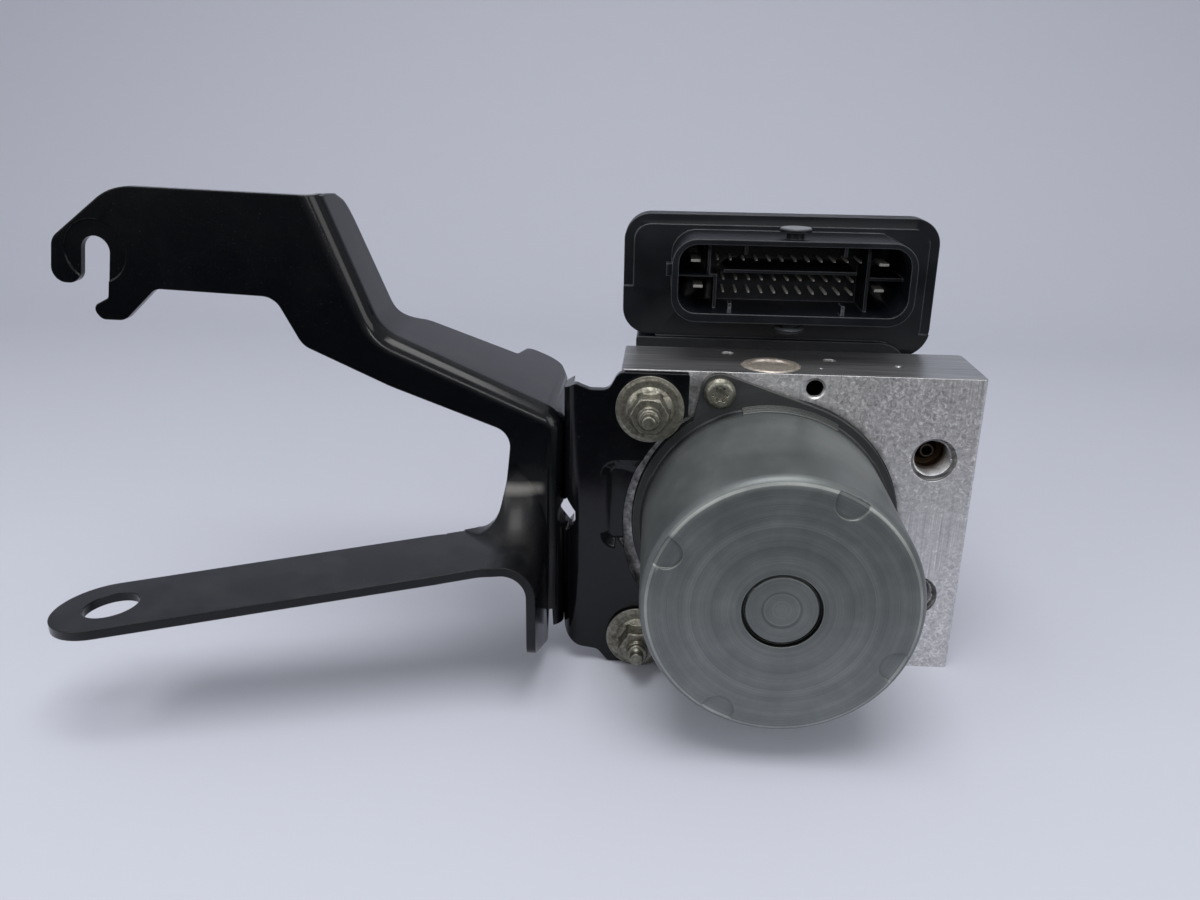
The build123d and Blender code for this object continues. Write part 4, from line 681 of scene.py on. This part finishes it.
# %% [markdown]
# ## Zinc plate on the fasteners
#
# Washers, nuts, studs and the motor's screws are zinc-plated and passivated, which leaves a greyed
# straw tint. Years under the bonnet turn it dull and cloudy, and the edges are rubbed bright. Fine
# lathe rings run round each stud's axis, so the bump reads the distance to the nearer one.

# %% Passivated zinc of the fasteners
# clouds of 1.4 mm, and rings of a quarter of a millimetre, twice as wide as the real ones to show
plate_cloud_scale = 0.7
lathe_ring_scale = 4.0


def passivated_zinc():
    """Dull straw-grey plate with lathe rings and bright edges."""
    material, tree = new_tree("passivated_zinc")
    cloud_settings = {"Scale": plate_cloud_scale, "Detail": 6.0, "Roughness": 0.7, "Distortion": 0.6}
    cloud = add_node(tree, "TexNoise", {"Vector": in_millimetres(tree), **cloud_settings}).outputs["Fac"]
    plate_stops = [(0.30, "#504e43"), (0.46, "#737167"), (0.60, "#8f8d83"), (0.75, "#adaba2")]
    tone = add_node(tree, "ValToRGB", {"Fac": cloud}, plate_stops).outputs["Color"]
    edges = add_node(tree, "Bevel", {"Radius": 0.3 * MM}, samples=bevel_samples).outputs["Normal"]
    rubbed = edge_mask(tree, edges)
    rubbed = add_node(tree, "Math", {0: rubbed, 1: 0.45}, operation="MULTIPLY").outputs[0]
    base = add_node(tree, "Mix", {0: rubbed, 6: tone, 7: linear("#cfccbf")}, data_type="RGBA").outputs[2]
    first, second = [radius_about(tree, place(across, 0, up)) for across, up in stud_places]
    nearest = add_node(tree, "Math", {0: first, 1: second}, operation="MINIMUM").outputs[0]
    lathe_settings = {"W": nearest, "Scale": lathe_ring_scale, "Detail": 2.0}
    lathe_rings = add_node(tree, "TexNoise", lathe_settings, noise_dimensions="1D").outputs["Fac"]
    height = add_node(tree, "Mix", {0: 0.5, 2: lathe_rings, 3: cloud}).outputs[0]
    dull = {"Value": cloud, "From Min": 0.3, "From Max": 0.7, "To Min": 0.48, "To Max": 0.32}
    roughness = add_node(tree, "MapRange", dull).outputs["Result"]
    ring_bump = {"Height": height, "Strength": 0.3, "Distance": 0.04 * MM, "Normal": edges}
    normal = add_node(tree, "Bump", ring_bump).outputs["Normal"]
    finish_tree(tree, base, roughness, normal, metallic=0.9)
    return material


finishes["zinc_plate"] = passivated_zinc()
print("nodes of the zinc plate:", len(finishes["zinc_plate"].node_tree.nodes))

# %% [markdown]
# ## The quieter finishes
#
# Most other pieces share one recipe with other numbers: a cloudy change of colour and roughness at
# the size of the real grain, and a fine bump. Each is named for what it is, from turned steel to
# the lacquer on the circuit board.

# %% Plain finishes from one recipe
roughness_swing = 0.06


def grained(name, dark, pale, grain_mm, roughness, metallic=0.0, bump=0.2):
    """Material whose colour and roughness wander over a grain of a real size."""
    material, tree = new_tree(name)
    grain_settings = {"Scale": 1 / grain_mm, "Detail": 5.0, "Roughness": 0.6}
    grain = add_node(tree, "TexNoise", {"Vector": in_millimetres(tree), **grain_settings}).outputs["Fac"]
    tone = add_node(tree, "ValToRGB", {"Fac": grain}, [(0.35, dark), (0.65, pale)]).outputs["Color"]
    swing = {"To Min": roughness - roughness_swing, "To Max": roughness + roughness_swing}
    wander = {"Value": grain, "From Min": 0.3, "From Max": 0.7, **swing}
    rough = add_node(tree, "MapRange", wander).outputs["Result"]
    edges = add_node(tree, "Bevel", {"Radius": 0.2 * MM}, samples=bevel_samples).outputs["Normal"]
    grain_bump = {"Height": grain, "Strength": bump, "Distance": 0.03 * MM, "Normal": edges}
    normal = add_node(tree, "Bump", grain_bump).outputs["Normal"]
    finish_tree(tree, tone, rough, normal, metallic=metallic)
    return material


finishes |= {
    "bright_steel": grained("turned_steel", "#9a9895", "#c6c4c0", 0.8, 0.32, metallic=1.0),
    "piston_plastic": grained("moulded_acetal", "#8f856b", "#a59a7c", 2.0, 0.5),
    "black_rubber": grained("nitrile_rubber", "#0f0f10", "#1b1b1c", 0.5, 0.72, bump=0.4),
    "ferrite": grained("sintered_ferrite", "#2e2e30", "#3d3d3f", 0.6, 0.6, metallic=0.3),
    "copper": grained("enamelled_copper", "#8a4326", "#b4633a", 0.9, 0.35, metallic=1.0),
    "carbon": grained("pressed_carbon", "#1d1d1e", "#2c2c2e", 0.4, 0.6),
    "coil_plastic": grained("moulded_polyester", "#161719", "#222326", 0.7, 0.5),
    "board_green": grained("solder_mask_lacquer", "#0f4a2a", "#18623a", 1.5, 0.3),
    "tinned_contact": grained("tinned_bronze", "#cbc9c2", "#eeece5", 0.3, 0.40, metallic=0.6),
}
pressed_plug = grained("pressed_plug_steel", "#a99f95", "#cfc6bc", 1.2, 0.36, metallic=0.6, bump=0.03)
squeezed_rubber = grained("squeezed_gasket_rubber", "#0c0d10", "#17181c", 0.9, 0.24, bump=0.1)
for node_name, node in nodes.items():
    node.material_slots[0].material = finishes[slot_of[node_name]]
print("finishes:", len(finishes))

# %% [markdown]
# ## Smooth copies of the solids
#
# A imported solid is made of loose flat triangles, which show on every round. Its shape is right, so a
# copy of its mesh is merged and its flat faces are joined up. Every new piece is shaded smooth up to
# an angle, rides on its body and takes the finish of its slot.

# %% Pieces and merged copies
weld_distance = 0.002
flat_within_degrees = 0.3


def add_piece(mesh, name, body, slot, smooth_degrees=32.0):
    """Object from a bmesh, smooth up to an angle, that rides on a body in the finish of a slot."""
    data = bpy.data.meshes.new(name)
    mesh.to_mesh(data)
    mesh.free()
    data.shade_smooth()
    data.set_sharp_from_angle(angle=radians(smooth_degrees))
    data.materials.append(finishes[slot])
    piece = bpy.data.objects.new(name, data)
    bpy.context.scene.collection.objects.link(piece)
    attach(piece, body)
    return piece


def merged(node_name):
    """Merged mesh of a solid, with its flat faces joined up."""
    mesh = bmesh.new()
    mesh.from_mesh(nodes[node_name].data)
    bmesh.ops.remove_doubles(mesh, verts=mesh.verts, dist=weld_distance * MM)
    flat = radians(flat_within_degrees)
    bmesh.ops.dissolve_limit(mesh, angle_limit=flat, verts=mesh.verts, edges=mesh.edges, delimit={"NORMAL"})
    return mesh


# %% [markdown]
# The solids whose rounds and bends can be seen get such a copy, with normals weighted by area so
# that broad flats stay flat beside their bends. The copy stands for the solid, which is hidden.

# %% Smooth copies
smooth_nodes = [
    "hydraulic_block",
    "ball_plugs",
    "upper_accumulator_plug",
    "lower_accumulator_plug",
    "pump_cylinders",
    "motor_can",
    "motor_screws",
    "ecu_housing",
    "ecu_cover",
    "ecu_screws",
    "bracket_studs",
    "rubber_bushes",
    "nut_washers",
    "bracket_nuts",
    "carrier_plate",
    "arm_bracket",
]
for node_name in smooth_nodes:
    piece = add_piece(merged(node_name), f"{node_name}_smooth", body_of[node_name], slot_of[node_name])
    if node_name.endswith("accumulator_plug"):
        piece.data.materials[0] = pressed_plug
    weighted = piece.modifiers.new("weighted_normals", "WEIGHTED_NORMAL")
    weighted.keep_sharp = True
    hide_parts(node_name)
print("smooth copies:", len(smooth_nodes))

# %% [markdown]
# ## Turned details
#
# Some rings are too fine for the solids. The spin operator turns the outline of each about its axis,
# as a lathe would, by a full turn or only over an arc, whose two ends are then filled.

# %% A ring from its outline
degrees_per_step = 3
full_turn = 360.0


def turned(name, centre, outline, slot, first_degrees=0.0, sweep_degrees=full_turn, upright=False):
    """Ring from a closed outline of radii and distances along its axis, which is Y or upright."""
    mesh = bmesh.new()
    first = radians(first_degrees)
    corners = []
    for radius, along in outline:
        if upright:
            point = place(centre[0] + radius, centre[1], along)
        else:
            point = place(centre[0] + radius * cos(first), along, centre[1] + radius * sin(first))
        corners.append(mesh.verts.new(point))
    sides = [mesh.edges.new(pair) for pair in zip(corners, corners[1:] + corners[:1])]
    bmesh.ops.spin(
        mesh,
        geom=[*corners, *sides],
        cent=place(*centre, 0) if upright else place(centre[0], 0, centre[1]),
        axis=(0, 0, 1) if upright else (0, -1, 0),
        angle=radians(sweep_degrees),
        steps=int(sweep_degrees / degrees_per_step),
        use_merge=sweep_degrees >= full_turn,
    )
    if sweep_degrees < full_turn:
        bmesh.ops.holes_fill(mesh, edges=mesh.edges, sides=len(outline))
    bmesh.ops.recalc_face_normals(mesh, faces=mesh.faces)
    return add_piece(mesh, name, "module", slot)


# %% [markdown]
# The can's foot has three rolled steps over the arc that the press tool reaches, and the
# accumulator's plug stands up in a round lip.

# %% Rolled steps and plug lip
step_outline = [
    (35.4, -2.3),
    (37.0, -2.3),
    (37.0, -3.2),
    (36.5, -3.4),
    (36.5, -4.4),
    (36.1, -4.6),
    (36.1, -5.7),
    (35.4, -6.0),
]
steps_start, steps_sweep = 59.5, 44.0
motor_place = (motor_across, motor_up)
steps = turned("can_foot_steps", motor_place, step_outline, "motor_steel", steps_start, steps_sweep)

plug_place = (42.8, 9.5)
lip_outline = [(6.3, 90.9), (6.6, 91.6), (7.1, 91.85), (7.8, 91.85), (8.3, 91.6), (8.5, 91.3), (8.5, 90.9)]
plug_lip = turned("plug_lip", plug_place, lip_outline, "bright_steel", upright=True)
plug_lip.data.materials[0] = pressed_plug
print("faces of steps and lip:", len(steps.data.polygons), len(plug_lip.data.polygons))

# %% [markdown]
# The gasket is wider than the flange and bulges where the screws squeeze it, so a round black bead
# follows the flange's edge.

# %% Bulging gasket
bulge = 1.0
outline_radius = can_radius + 0.5
rim_radius = 38.0
bead_radius = 0.3
front_layer = 0.4

gasket = merged("motor_gasket")
for vert in gasket.verts:
    outward = vert.co - motor_centre
    outward.y = 0
    if outward.length > outline_radius * MM:
        vert.co += outward.normalized() * (bulge * MM)
layer = motor_centre.y - front_layer * MM
rim_corners = {v for v in gasket.verts if v.co.y < layer and (v.co - motor_centre).length > rim_radius * MM}
rim_edges = [edge for edge in gasket.edges if all(vert in rim_corners for vert in edge.verts)]
bmesh.ops.bevel(
    gasket, geom=rim_edges, offset=bead_radius * MM, segments=3, profile=0.5, affect="EDGES", material=-1
)
bead = add_piece(gasket, "gasket_bead", body_of["motor_gasket"], slot_of["motor_gasket"])
bead.data.materials[0] = squeezed_rubber
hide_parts("motor_gasket")
print("rounded edges of the gasket:", len(rim_edges))

# %% [markdown]
# ## Threads
#
# The open ports are threaded M12 by 1 and the studs M6 by 1. A thread is a small triangle carried
# round its axis and along it: the spin operator does both at once, so each thread is one strip
# that climbs by its pitch at every turn. Its crest is a narrow flat and its foot nearly fills the
# pitch.

# %% Threads of ports, studs and the tapped hole
thread_pitch = 1.0
half_foot = 0.44 * thread_pitch
half_crest = 0.06 * thread_pitch
steps_per_turn = 40


def thread(name, centre, slot, start, end, foot, crest):
    """Ridge that climbs about an axis along Y, from its foot's radius to its crest's radius."""
    mesh = bmesh.new()
    section = [(foot, -half_foot), (crest, -half_crest), (crest, half_crest), (foot, half_foot)]
    corners = [mesh.verts.new(place(centre[0] + radius, start + back, centre[1])) for radius, back in section]
    sides = [mesh.edges.new(pair) for pair in zip(corners, corners[1:] + corners[:1])]
    turns = (end - start) / thread_pitch
    steps = int(turns * steps_per_turn)
    bmesh.ops.spin(
        mesh,
        geom=[*corners, *sides],
        cent=place(centre[0], 0, centre[1]),
        axis=(0, 1, 0),
        dvec=(0, (end - start) * MM / steps, 0),
        angle=2 * pi * turns,
        steps=steps,
    )
    bmesh.ops.holes_fill(mesh, edges=mesh.edges, sides=len(section))
    bmesh.ops.recalc_face_normals(mesh, faces=mesh.faces)
    return add_piece(mesh, name, "module", slot)


for index, port in enumerate(port_places, 1):
    thread(f"port_thread_{index}", port, "block_aluminium", start=1.9, end=8.2, foot=5.6, crest=5.05)
for index, stud in enumerate(stud_places, 1):
    thread(f"stud_thread_{index}", stud, "zinc_plate", start=-16.6, end=-14.4, foot=3.0, crest=3.24)
thread("screw_hole_thread", screw_hole_place, "block_aluminium", start=0.8, end=7.6, foot=2.6, crest=2.35)
print("threads:", len(port_places) + len(stud_places) + 1)

# %% [markdown]
# ## Springs of the accumulators
#
# Inside the block a spring stands between each accumulator's plug and its piston. A smooth copy of
# each spring, with a mesh of its own, stands for the solid, which is hidden.

# %% Accumulator springs
plug_ends = {"upper": 87.5, "lower": 4.0}
for side, plug_end in plug_ends.items():
    coil = merged(f"{side}_accumulator_spring")
    spring = add_piece(coil, f"{side}_spring_that_gives", "module", "bright_steel")
    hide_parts(f"{side}_accumulator_spring")
    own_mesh(spring)

# %% [markdown]
# ## Tapered pins
#
# The signal pins of the socket are stamped square and their tips are coined to a point, so that the
# plug's springs ride up on them. Each pin's end face is extruded in place and drawn in, and the ring
# behind it moves back by the length of the taper.

# %% Pin tips
tip_taper = 0.45
tip_length = 0.9
end_layer = 0.1
pins = merged("connector_pins")
behind_ends = min(vert.co.y for vert in pins.verts) + end_layer * MM
tips = [face for face in pins.faces if face.normal.y < -0.9 and face.calc_center_median().y < behind_ends]
drawn = bmesh.ops.extrude_discrete_faces(pins, faces=tips)["faces"]
rims = {vert for face in drawn for edge in face.edges for vert in edge.verts}
for face in drawn:
    centre = face.calc_center_median()
    for vert in face.verts:
        vert.co.x = centre.x + (vert.co.x - centre.x) * tip_taper
        vert.co.z = centre.z + (vert.co.z - centre.z) * tip_taper
necks = [vert for vert in pins.verts if vert not in rims and vert.co.y < behind_ends]
bmesh.ops.translate(pins, verts=necks, vec=(0, tip_length * MM, 0))
pointed = add_piece(pins, "connector_pins_pointed", body_of["connector_pins"], slot_of["connector_pins"])
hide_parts("connector_pins")
print("pointed pins:", len(drawn))
